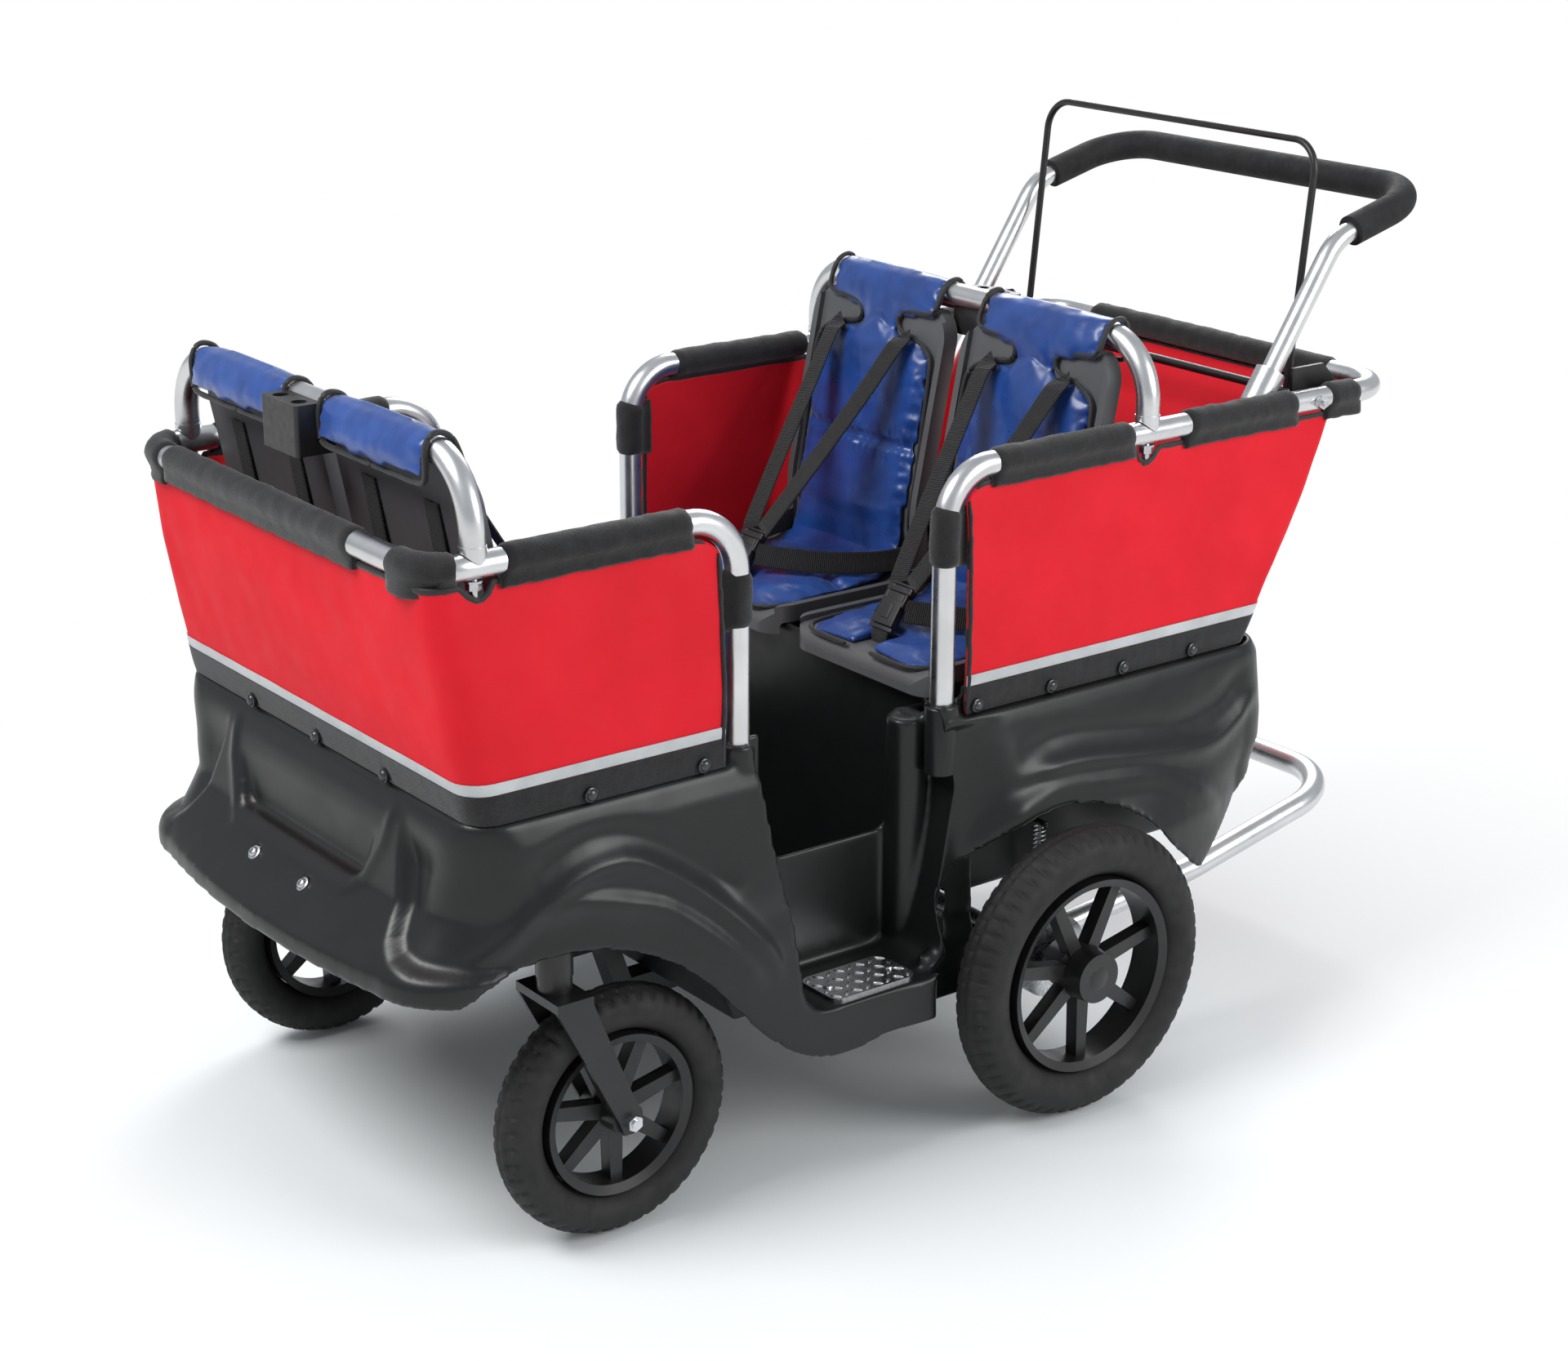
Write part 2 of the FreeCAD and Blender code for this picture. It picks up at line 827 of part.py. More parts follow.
def make_hoop(name, y):
    """A hoop whose feet keep a solid plug with a blind hole for the bolt."""
    half = d.rail_half_span

    def hoop_points(low):
        return [Vector(half, y, low), Vector(half, y, hoop_height),
                Vector(-half, y, hoop_height), Vector(-half, y, low)]

    bends = [d.hoop_bend, d.hoop_bend]
    outer = rod(hoop_points(hoop_foot), bends, tube_radius)
    bore = rod(hoop_points(hoop_foot + d.hoop_plug_length), bends, tube_bore)
    hole = Part.makeCylinder(d.hoop_bolt_diameter / 2 + d.fit_gap, d.hoop_plug_length + d.tube_wall,
                             Vector(half, y, hoop_foot))
    feature(name, outer.cut(bore).cut(both_sides(hole)))


def make_saddles():
    """Moulded saddles between the rail and the hoop feet."""
    low = d.rail_height
    solids = []
    for y in (d.front_hoop_y, d.rear_hoop_y):
        x = d.rail_half_span
        body = Part.makeCylinder(d.saddle_diameter / 2, hoop_foot - low, Vector(x, y, low))
        groove = Part.makeCylinder(tube_radius + 3 * d.fit_gap, 2 * d.saddle_diameter,
                                   Vector(x, y - d.saddle_diameter, low), Y_AXIS)
        hole = Part.makeCylinder(d.hoop_bolt_diameter / 2 + d.fit_gap, 2 * d.saddle_diameter,
                                 Vector(x, y, low))
        solids.append(both_sides(body.cut(groove).cut(hole)))
    feature("hoop_saddles", Part.makeCompound([s for pair in solids for s in pair.Solids]))


def make_hoop_bolts():
    """Bolt, washer and nut under each hoop foot."""
    bolts = []
    seat = d.rail_height - tube_radius - d.fit_gap
    for y_index, y in enumerate((d.front_hoop_y, d.rear_hoop_y)):
        for side in SIDES:
            tag = "hoop_%d_%s_" % (y_index, SIDE_NAMES[side])
            x = side * d.rail_half_span
            washer_low = seat - d.washer_thickness
            nut_low = washer_low - d.nut_height
            tail = nut_low - d.hoop_bolt_tail
            parts = [
                cylinder(tag + "washer", d.washer_diameter / 2, d.washer_thickness, (x, y, washer_low)),
                hexagon(tag + "nut", d.nut_diameter / 2, d.nut_height, (x, y, nut_low)),
                cylinder(tag + "shank", d.hoop_bolt_diameter / 2,
                         hoop_foot + d.hoop_bolt_reach - tail, (x, y, tail)),
            ]
            bolts.append(fused(tag + "bolt", parts))
    grouped("hoop_bolts", bolts)


def sleeve(points, radii):
    inner = tube_radius + d.fit_gap
    return tube(points, radii, inner + d.sleeve_wall, inner)


def make_sleeves():
    """Seamed textile sleeves that carry the canvas on the rails and posts."""
    half = d.rail_half_span
    top = d.rail_height

    def along_side(start, end):
        return sleeve([Vector(half, start, top), Vector(half, end, top)], [])

    def along_post(y, low, high):
        return sleeve([Vector(half, y, low), Vector(half, y, high)], [])

    def front_corner():
        """From a point on the bend of the rail round to the front run."""
        bend = d.front_corner_bend
        centre = Vector(half - bend, d.front_rail_y + bend, top)
        drop = centre.y - d.front_corner_sleeve_start
        across = math.sqrt(bend ** 2 - drop ** 2)
        start = centre + Vector(across, -drop, 0)
        ahead = Vector(-drop, -across, 0).normalize()
        corner = start + ahead * ((d.front_rail_y - start.y) / ahead.y)
        end = Vector(d.front_corner_sleeve_reach, d.front_rail_y, top)
        return sleeve([start, corner, end], [bend])

    front = [both_sides(along_side(d.front_side_sleeve_start, d.front_side_sleeve_end)),
             both_sides(along_post(d.front_post_y, d.front_post_sleeve_low, d.front_post_sleeve_high)),
             both_sides(front_corner())]
    cross = sleeve([Vector(d.front_cross_sleeve_left, d.front_rail_y, top),
                    Vector(d.front_cross_sleeve_right, d.front_rail_y, top)], [])
    front.append(Part.makeCompound([cross]))
    feature("front_sleeves", Part.makeCompound([s for pair in front for s in pair.Solids]))
    back = sleeve([Vector(d.back_sleeve_half, d.back_rail_y, top),
                   Vector(-d.back_sleeve_half, d.back_rail_y, top)], [])
    rear = [both_sides(along_side(d.rear_side_sleeve_start, d.rear_side_sleeve_end)),
            both_sides(along_side(d.rear_second_sleeve_start, d.rear_second_sleeve_end)),
            both_sides(along_side(d.rear_corner_sleeve_start, d.rear_corner_sleeve_end)),
            both_sides(along_post(d.rear_post_y, d.rear_post_sleeve_low, d.rear_post_sleeve_high)),
            Part.makeCompound([back])]
    feature("rear_sleeves", Part.makeCompound([s for pair in rear for s in pair.Solids]))


# Canvas sides

canvas_top = d.rail_height - tube_radius - d.fit_gap - d.sleeve_wall - d.fit_gap
front_open_y = d.front_post_y - d.socket_diameter / 2 - d.canvas_post_gap
rear_open_y = d.rear_post_y + d.socket_diameter / 2 + d.canvas_post_gap


def front_path(half, y):
    """The front bay seen from above: open towards the doorways."""
    return [Vector(half, front_open_y, 0), Vector(half, y, 0),
            Vector(-half, y, 0), Vector(-half, front_open_y, 0)]


def rear_path(half, side_end, back_half, back_y):
    """The rear bay seen from above, with its slanted corners."""
    return [Vector(-half, rear_open_y, 0), Vector(-half, side_end, 0), Vector(-back_half, back_y, 0),
            Vector(back_half, back_y, 0), Vector(half, side_end, 0), Vector(half, rear_open_y, 0)]


def front_section(share, shift, thickness):
    """The front band at a share of the way from its foot to its top."""
    half = d.canvas_foot_half + (d.canvas_top_half - d.canvas_foot_half) * share
    y = d.front_canvas_foot_y + (d.front_canvas_top_y - d.front_canvas_foot_y) * share
    return band_wire(front_path(half, y), [d.front_canvas_bend] * 2, -thickness, -shift)


def rear_section(share, shift, thickness):
    half = d.canvas_foot_half + (d.canvas_top_half - d.canvas_foot_half) * share
    side_end = d.rear_canvas_foot_side_end
    side_end = side_end + (d.rear_canvas_top_side_end - side_end) * share
    back_half = d.rear_canvas_foot_back_half
    back_half = back_half + (d.rear_canvas_top_back_half - back_half) * share
    back_y = d.rear_canvas_foot_y + (d.back_rail_y - d.rear_canvas_foot_y) * share
    return band_wire(rear_path(half, side_end, back_half, back_y), [d.rear_canvas_bend] * 4,
                     -thickness, -shift)


def band_solid(section, levels, foot, shift, thickness):
    """A hanging band lofted through (height, extra shift) levels."""
    wires = []
    for height, extra in levels:
        share = (height - foot) / (canvas_top - foot)
        wires.append(lifted(section(share, shift + extra, thickness), height))
    return Part.makeLoft(wires, True, True)


def canvas_levels(foot):
    span = canvas_top - foot
    return [(foot, 0), (foot + span / 3, d.canvas_belly), (foot + span * 2 / 3, d.canvas_belly),
            (canvas_top, 0)]


def bend_relief(post_y, outward):
    """The upper corner that the canvas leaves free inside the bend of a post."""
    centre_y = post_y - outward * d.post_bend
    centre_z = d.rail_height - d.post_bend
    half = d.rail_half_span
    size = d.post_bend + d.overrun
    corner = Part.makeBox(2 * (half + d.overrun), size, size,
                          Vector(-half - d.overrun, min(centre_y, centre_y + outward * size), centre_z))
    radius = d.post_bend - tube_radius - d.sleeve_wall - 2 * d.fit_gap
    round_part = Part.makeCylinder(radius, 2 * (half + d.overrun),
                                   Vector(-half - d.overrun, centre_y, centre_z), X_AXIS)
    return corner.cut(round_part)


def bolt_notches(y):
    """Round notches in the upper edge that clear the hoop bolts."""
    half = d.rail_half_span
    notch = Part.makeCylinder(d.canvas_notch_radius, 2 * d.tube_diameter,
                              Vector(half - d.tube_diameter, y, canvas_top), X_AXIS)
    return both_sides(notch)


def make_canvas():
    front = band_solid(front_section, canvas_levels(d.front_foot_height), d.front_foot_height,
                       0, d.canvas_thickness)
    front = front.cut([bend_relief(d.front_post_y, 1), bolt_notches(d.front_hoop_y)])
    feature("front_canvas", front)
    rear = band_solid(rear_section, canvas_levels(d.rear_foot_height), d.rear_foot_height,
                      0, d.canvas_thickness)
    rear = rear.cut([bend_relief(d.rear_post_y, -1), bolt_notches(d.rear_hoop_y)])
    feature("rear_canvas", rear)


def foot_band(section, foot, low, high, gap, thickness):
    """A band laid on the outside of the canvas near its foot."""
    span = canvas_top - foot
    belly_share = d.canvas_belly / (span / 3)
    levels = [(low, belly_share * (low - foot)), (high, belly_share * (high - foot))]
    return band_solid(section, levels, foot, -gap - thickness, thickness)


def make_hems_and_tapes():
    hems = []
    tapes = []
    for section, foot in ((front_section, d.front_foot_height), (rear_section, d.rear_foot_height)):
        hem_top = foot + d.hem_height
        hems.append(foot_band(section, foot, foot, hem_top, d.fit_gap, d.hem_thickness))
        tapes.append(foot_band(section, foot, hem_top + d.fit_gap, hem_top + d.tape_height,
                               d.fit_gap, d.tape_thickness))
    feature("hem_bands", Part.makeCompound(hems))
    feature("reflective_tapes", Part.makeCompound(tapes))


def flange(section, foot, low):
    """The upright tub rim that the hem is fastened to."""
    thickness = d.tub_wall - d.fit_gap
    wires = []
    for height in (low, foot + d.hem_height - d.fit_gap):
        flat = section(0, d.canvas_thickness + 2 * d.fit_gap + 0.6 * d.canvas_belly, thickness)
        wires.append(lifted(flat, height))
    return Part.makeLoft(wires, True, True)


def make_studs():
    """Press studs on the hem, square to its slope."""
    solids = []
    rise = d.hem_height - d.stud_drop
    stack = d.hem_thickness + 2 * d.fit_gap
    belly = d.canvas_belly / ((canvas_top - d.front_foot_height) / 3)

    def slope(top, foot, foot_height):
        return (top - foot) / (canvas_top - foot_height)

    front_slope = slope(d.front_canvas_top_y, d.front_canvas_foot_y, d.front_foot_height) + belly
    out = Vector(0, -1, front_slope).normalize()
    for x in (-d.front_stud_pitch, 0, d.front_stud_pitch):
        place_at = Vector(x, d.front_canvas_foot_y + front_slope * rise, d.front_foot_height + rise)
        solids.append(stud(place_at + out * stack, out))
    places = []
    for i in range(2):
        y = front_open_y - d.front_side_stud_inset + d.stud_diameter - i * d.front_side_stud_pitch
        places.append((y, d.front_foot_height))
    for i in range(4):
        y = rear_open_y + d.rear_side_stud_inset - d.stud_diameter + i * d.rear_side_stud_pitch
        places.append((y, d.rear_foot_height))
    for y, foot in places:
        side_slope = slope(d.canvas_top_half, d.canvas_foot_half, foot) - belly
        out = Vector(1, 0, -side_slope).normalize()
        place_at = Vector(d.canvas_foot_half + side_slope * rise, y, foot + rise)
        solids += both_sides(stud(place_at + out * stack, out)).Solids
    feature("canvas_studs", Part.makeCompound(solids))


def stud(base, outward):
    radius = d.stud_diameter / 2
    return Part.makeCone(radius, radius / 2, d.stud_height, base, outward)


# Moulded tub

def hull_levels():
    """Height, half width, corner y, centre y, corner radius, rear y and share of the flare."""
    side = d.shoulder_half
    return (
        (d.skirt_foot_height, side, d.bumper_y, d.bumper_y - d.bumper_bow, d.front_corner_round,
         d.rear_belt_y, 1),
        (d.bumper_foot_height, side, d.bumper_y, d.bumper_y - d.bumper_bow, d.front_corner_round,
         d.rear_foot_y, 0.82),
        (d.bumper_height, side, d.bumper_y, d.bumper_y - d.bumper_bow, d.front_corner_round,
         d.rear_foot_y, 0.7),
        (d.bumper_top_height, side, d.bumper_top_y, d.bumper_top_y - d.bumper_bow / 3,
         d.front_corner_round, d.rear_waist_y, 0.5),
        (d.panel_foot_height, side, d.panel_foot_y, d.panel_foot_y, d.front_corner_round,
         d.rear_waist_y, 0.3),
        (d.rear_belt_height - d.shoulder_drop, side, d.front_shoulder_y, d.front_shoulder_y,
         (d.front_corner_round + d.belt_corner_round) / 2, d.rear_shoulder_y, 0.03),
        (d.front_belt_height, d.belt_half, d.front_belt_y, d.front_belt_y, d.belt_corner_round,
         d.rear_belt_y, 0),
    )


def hull_wire(level, inset):
    """The outline of the tub at one level, seen from above, drawn inwards by a wall."""
    height, half, corner_y, centre_y, corner, rear_y, flare = level
    corner = max(corner - inset, corner / 2)
    half = half - inset
    front = corner_y + inset
    centre = centre_y + inset
    rear = rear_y - inset
    rear_corner = d.rear_corner_round - inset
    bulge_shares = ((d.caster_y, 0.55 * d.front_flare), (d.arch_knee_y, d.front_flare),
                    (d.arch_toe_y, d.step_flare), (d.step_tail_y, 1.15 * d.step_flare),
                    (d.rear_axle_y, d.rear_flare), (d.hook_y, d.hook_flare))
    sides = [Vector(half, front + corner, height)]
    for y, bulge in bulge_shares:
        sides.append(Vector(half + bulge * flare, y, height))
    sides.append(Vector(half, rear - rear_corner, height))
    curve = Part.BSplineCurve()
    curve.interpolate(sides)
    diagonal = 1 - math.sqrt(0.5)
    front_arc = Part.Arc(Vector(half - corner, front, height),
                         Vector(half - corner * diagonal, front + corner * diagonal, height),
                         Vector(half, front + corner, height)).toShape()
    rear_arc = Part.Arc(Vector(half, rear - rear_corner, height),
                        Vector(half - rear_corner * diagonal, rear - rear_corner * diagonal, height),
                        Vector(half - rear_corner, rear, height)).toShape()
    rear_line = Part.LineSegment(Vector(half - rear_corner, rear, height),
                                 Vector(-half + rear_corner, rear, height)).toShape()
    left = [front_arc, curve.toShape(), rear_arc]
    right = [mirrored(edge) for edge in left[::-1]]
    if abs(front - centre) > d.fit_gap:
        front_edge = Part.Arc(Vector(-half + corner, front, height), Vector(0, centre, height),
                              Vector(half - corner, front, height)).toShape()
    else:
        front_edge = Part.Arc(Vector(-half + corner, front, height),
                              Vector(0, front - d.fit_gap, height),
                              Vector(half - corner, front, height)).toShape()
    return Part.Wire(left + [rear_line] + right + [front_edge])


def hull(inset):
    levels = list(hull_levels())
    wires = [hull_wire(level, inset) for level in levels]
    if inset:
        wires[0].translate(Vector(0, 0, -d.overrun))
        wires[-1].translate(Vector(0, 0, -inset))
    return Part.makeLoft(wires, True, True)


def skirt_cutter():
    """Everything below the lower edge of the skirt, across the full width."""
    low = -d.overrun
    front = d.bumper_y - d.bumper_bow - d.overrun
    rear = d.rear_waist_y + d.overrun
    wave = Part.BSplineCurve()
    wave.interpolate([
        Vector(0, d.arch_start_y, d.bumper_foot_height),
        Vector(0, d.arch_crown_y, d.arch_crown_height),
        Vector(0, d.arch_knee_y, d.arch_knee_height),
        Vector(0, d.arch_toe_y, d.arch_toe_height),
        Vector(0, d.step_foot_y, d.step_foot_height),
    ], Tangents=[Vector(0, 1, 0.1), Vector(0, 1, 0), Vector(0, 0.8, -0.5), Vector(0, 0.8, -0.5),
                 Vector(0, 1, 0)])
    exit_height = d.rear_wheel_radius + math.sqrt(
        d.rear_arch_radius ** 2 - (d.arch_exit_y - d.rear_axle_y) ** 2)
    corners = [(d.step_foot_y, d.step_foot_height), (d.step_tail_y, d.step_foot_height),
               (d.rear_axle_y, d.step_foot_height), (d.arch_exit_y, exit_height),
               (d.hook_y, d.hook_height), (d.rear_foot_y, d.tail_height), (rear, d.tail_height),
               (rear, low), (front, low), (front, d.bumper_foot_height),
               (d.arch_start_y, d.bumper_foot_height)]
    hook = (d.hook_y, d.hook_height)
    radii = [d.hook_round if corner == hook else 0 for corner in corners[1:-1]]
    edges = [wave.toShape()] + rounded_edges([Vector(0, *corner) for corner in corners], radii)
    reach = d.shoulder_half + d.rear_flare + d.overrun
    wire = Part.Wire(edges)
    wire.translate(Vector(-reach, 0, 0))
    return prism(wire, Vector(2 * reach, 0, 0))


def arch_cutter():
    """The rear wheel arches, concentric with the axle."""
    reach = d.shoulder_half + d.rear_flare + d.overrun
    arch = Part.makeCylinder(d.rear_arch_radius, reach - d.arch_inner_half,
                             Vector(d.arch_inner_half, d.rear_axle_y, d.rear_wheel_radius), X_AXIS)
    return both_sides(arch)


def doorway(inset):
    """The outline of the niche under the doorway, grown by an inset."""
    top = d.front_belt_height + d.overrun
    return (
        (d.door_front_top_y - inset, top, 0),
        (d.door_front_foot_y - inset, d.step_height - inset, d.door_round),
        (d.door_rear_foot_y + inset, d.step_height - inset, d.door_round),
        (d.door_rear_waist_y + inset, d.door_rear_waist_height, d.door_round),
        (d.door_rear_top_y + inset, top, 0),
    )


def sill():
    top = d.front_belt_height + d.overrun
    return ((d.sill_front_y, top, 0), (d.sill_front_y, d.sill_height, d.sill_round),
            (d.sill_rear_y, d.sill_height, d.sill_round), (d.sill_rear_y, top, 0))


rear_bulkhead_y = d.rear_hoop_y - d.seat_depth + d.seat_wall + d.bulkhead_setback
front_bulkhead_y = d.front_hoop_y + d.seat_depth - d.seat_wall - d.bulkhead_setback
bulkhead_top = d.seat_surface - d.seat_wall - d.fit_gap


def basin_prisms(inset):
    """Front basin, footwell and rear basin, inner (inset 0) or outer (inset a wall)."""
    top = d.front_belt_height + d.overrun
    wall = d.tub_wall
    half = d.basin_half + inset
    well_half = d.niche_half - wall + inset
    front_low = d.front_basin_floor - inset
    well_low = d.footwell_floor - inset
    rear_low = d.rear_basin_floor - inset
    front_y = d.front_belt_y + wall - inset
    front_end = front_bulkhead_y - wall + inset
    well_front = front_bulkhead_y - inset
    well_rear = rear_bulkhead_y + inset
    rear_start = rear_bulkhead_y + wall - inset
    rear_end = d.rear_belt_y - 2 * wall + inset
    outlines = (
        (half, ((front_y, top, 0), (front_y, front_low, 0), (front_end, front_low, 0),
                (front_end, top, 0))),
        (well_half, ((well_front, top, 0), (well_front, d.footwell_slope_top, 0),
                     (d.footwell_slope_foot_y - inset, well_low, 0), (well_rear, well_low, 0),
                     (well_rear, top, 0))),
        (half, ((rear_start, top, 0), (rear_start, rear_low, 0),
                (d.rear_basin_foot_y + inset, rear_low, 0),
                (d.rear_basin_rise_y + inset, d.tail_height - inset + wall, 0),
                (rear_end, d.tail_height - inset + wall, 0), (rear_end, top, 0))),
    )
    return [side_prism(outline, -reach, reach) for reach, outline in outlines]


def recess_box(inset):
    """The shallow panel recessed into the front above the bumper."""
    low = d.panel_foot_height - inset
    high = d.rear_belt_height + inset
    front = d.bumper_y - d.overrun
    corners = [(Vector(d.recess_top_half + inset, front, high), 0),
               (Vector(-d.recess_top_half - inset, front, high), 0),
               (Vector(-d.recess_foot_half - inset, front, low), d.door_round / 2),
               (Vector(d.recess_foot_half + inset, front, low), d.door_round / 2)]
    return prism(rounded_loop(corners), Vector(0, d.recess_y + inset - front, 0))


def caster_wells(inset):
    """The space swept by the casters below their crowns, grown by a wall."""
    tyre = d.front_wheel_radius + d.caster_well_gap + inset
    reach = d.caster_trail + tyre
    top = d.front_wheel_radius + tyre
    corners = [(Vector(0, 0, 0), 0), (Vector(reach, 0, 0), 0), (Vector(reach, 0, top), tyre),
               (Vector(0, 0, top), 0)]
    well = Part.Face(rounded_loop(corners)).revolve(Vector(0, 0, 0), Z_AXIS, 360)
    return both_sides(moved_by(well, Vector(d.caster_half_span, d.caster_y, 0)))


def seat_notch():
    """Room for the front lips of the seats between the tub sides."""
    half = d.seat_centre + d.seat_width / 2 + 4 * d.fit_gap
    lip = d.front_hoop_y + d.seat_depth
    return box_between((-half, front_bulkhead_y, d.seat_surface - d.seat_lip_height - 4 * d.fit_gap),
                       (half, lip + 4 * d.fit_gap, d.front_belt_height + d.overrun))


def make_tub():
    wall = d.tub_wall
    outer = hull(0)
    skin = outer.cut(hull(wall)).cut(skirt_cutter())
    reach = d.shoulder_half + d.rear_flare + d.overrun
    niche_back = side_prism(doorway(wall), d.niche_half - wall, reach).common(outer)
    niche = side_prism([(y, z, r) for y, z, r in doorway(0)], d.niche_half, reach)
    basins = basin_prisms(wall)
    trays = basins[0].fuse(basins[1:]).common(outer)
    rims = [flange(front_section, d.front_foot_height, d.rear_belt_height),
            flange(rear_section, d.rear_foot_height, d.rear_belt_height - wall)]
    stub = Part.makeCylinder(d.stub_diameter / 2, d.stub_top - d.footwell_floor + wall,
                             Vector(d.stub_half_span, d.stub_y, d.footwell_floor - wall))
    sockets = []
    holes = []
    for y, top in ((d.front_post_y, d.front_socket_top), (d.rear_post_y, d.rear_socket_top)):
        low = top - d.socket_depth
        column = Part.makeCylinder(d.socket_diameter / 2, d.socket_depth + wall,
                                   Vector(d.rail_half_span, y, low - wall))
        hole = Part.makeCylinder(tube_radius + d.fit_gap, d.socket_depth + d.overrun,
                                 Vector(d.rail_half_span, y, low))
        sockets += [column, mirrored(column)]
        holes += [hole, mirrored(hole)]
    dimple = recess_box(wall).common(outer)
    body = skin.fuse([niche_back, mirrored(niche_back), trays, dimple] + sockets)
    bulkheads = []
    half = d.niche_half - d.tub_wall
    for y, low in ((front_bulkhead_y - wall, d.footwell_slope_top),
                   (rear_bulkhead_y, d.footwell_floor)):
        bulkheads.append(box_between((-half, y, low), (half, y + wall, bulkhead_top)))
    inner = basin_prisms(0)
    body = body.cut(inner).cut([niche, mirrored(niche), recess_box(0)])
    top_cut = box_between((-reach, d.stub_y - reach, d.rear_belt_height),
                          (reach, d.rear_waist_y + d.overrun, d.front_belt_height + d.overrun))
    top_cut = top_cut.cut(box_between(
        (-reach, d.stub_y - 2 * reach, d.rear_belt_height - d.overrun),
        (reach, (d.door_front_top_y + d.door_rear_top_y) / 2, d.front_belt_height + 2 * d.overrun)))
    for column in sockets[2:]:
        top_cut = top_cut.cut(column)
    body = body.cut(top_cut)
    body = body.cut(both_sides(side_prism(sill(), d.niche_half - 2 * wall, d.niche_half + wall)))
    peg = Part.makeCylinder(d.spring_peg_diameter / 2, d.brake_lever_place + 3 * d.tub_wall
                            - d.basin_half, Vector(d.basin_half, d.rear_axle_y, d.spring_peg_height),
                            X_AXIS)
    body = body.fuse(bulkheads + [stub, mirrored(stub), peg, mirrored(peg)] + rims)
    body = body.fuse(basins[1].common(caster_wells(wall))).cut([caster_wells(0), seat_notch()])
    clear = [arch_cutter()] + holes
    for hole in (1, -1):
        clear.append(Part.makeCylinder(d.bumper_bolt_diameter / 2 + d.fit_gap, 6 * d.overrun,
                                       Vector(hole * d.bumper_bolt_half_span,
                                              d.bumper_y - d.overrun, d.bumper_bolt_height), Y_AXIS))
    body = body.cut(clear)
    feature("tub", max(body.Solids, key=lambda solid: solid.Volume))


def make_step_plates():
    """Chequer plates on the doorway steps, with their screws."""
    plates = []
    screws = []
    length = d.step_plate_rear_y - d.step_plate_front_y
    width = d.step_plate_outer - d.step_plate_inner
    for side in SIDES:
        name = "step_plate_" + SIDE_NAMES[side]
        low_x = d.step_plate_inner if side > 0 else -d.step_plate_outer
        plate = block(name + "_blank", (width, length, d.step_plate_thickness),
                      (low_x, d.step_plate_front_y, d.step_height))
        rounding = doc.addObject("Part::Fillet", name)
        rounding.Base = plate
        doc.recompute()
        corners = [i for i, edge in enumerate(plate.Shape.Edges, start=1)
                   if abs(edge.Vertexes[1].Point.z - edge.Vertexes[0].Point.z) > 0.5 * edge.Length]
        rounding.Edges = [(i, float(d.step_plate_round), float(d.step_plate_round)) for i in corners]
        plates.append(rounding)
        for y in (d.step_plate_front_y + d.step_screw_inset, d.step_plate_rear_y - d.step_screw_inset):
            x = side * (d.step_plate_inner + d.step_plate_outer) / 2
            screws.append(cylinder("step_screw", d.step_screw_diameter / 2, d.step_screw_height,
                                   (x, y, d.step_height + d.step_plate_thickness)))
    grouped("step_plates", plates)
    grouped("step_screws", screws)


def make_bumper_bolts():
    """Hexagon bolts through the tub front into the chassis beam."""
    bolts = []
    face = d.bumper_top_y - d.bumper_bow / 3
    for side in SIDES:
        tag = "bumper_bolt_" + SIDE_NAMES[side]
        x = side * d.bumper_bolt_half_span
        head_y = face - d.bumper_bolt_head_height - d.fit_gap
        head = hexagon(tag + "_head", d.bumper_bolt_head / 2, d.bumper_bolt_head_height,
                       (x, head_y, d.bumper_bolt_height), (0, 1, 0))
        shank = cylinder(tag + "_shank", d.bumper_bolt_diameter / 2, 2 * d.overrun + d.tub_wall,
                         (x, head_y, d.bumper_bolt_height), (0, 1, 0))
        bolts.append(fused(tag, [head, shank]))
    grouped("bumper_bolts", bolts)


# Seats, pads and harness, drawn about the hoop and facing away from it

def seat_path():
    """The child's side of the shell in side view, from the lip to the top. x is depth."""
    return [Vector(-d.seat_depth, d.seat_surface - d.seat_lip_height, 0),
            Vector(-d.seat_depth, d.seat_surface, 0),
            Vector(-d.seat_crease, d.seat_surface, 0),
            Vector(-d.seat_lumbar, d.seat_lumbar_height, 0),
            Vector(-d.seat_top_setback, seat_top_height, 0)]


def upright(shape):
    """Turns a side view drawn in the XY plane into the YZ plane."""
    turned = shape.copy()
    turned.rotate(Vector(0, 0, 0), X_AXIS, 90)
    turned.rotate(Vector(0, 0, 0), Z_AXIS, 90)
    return turned


def seat_band(shift, thickness, half):
    radii = [d.seat_lip_round, d.seat_crease_round, d.seat_lumbar_round]
    wire = upright(band_wire(seat_path(), radii, -thickness, shift))
    wire.translate(Vector(-half, 0, 0))
    return prism(wire, Vector(2 * half, 0, 0))


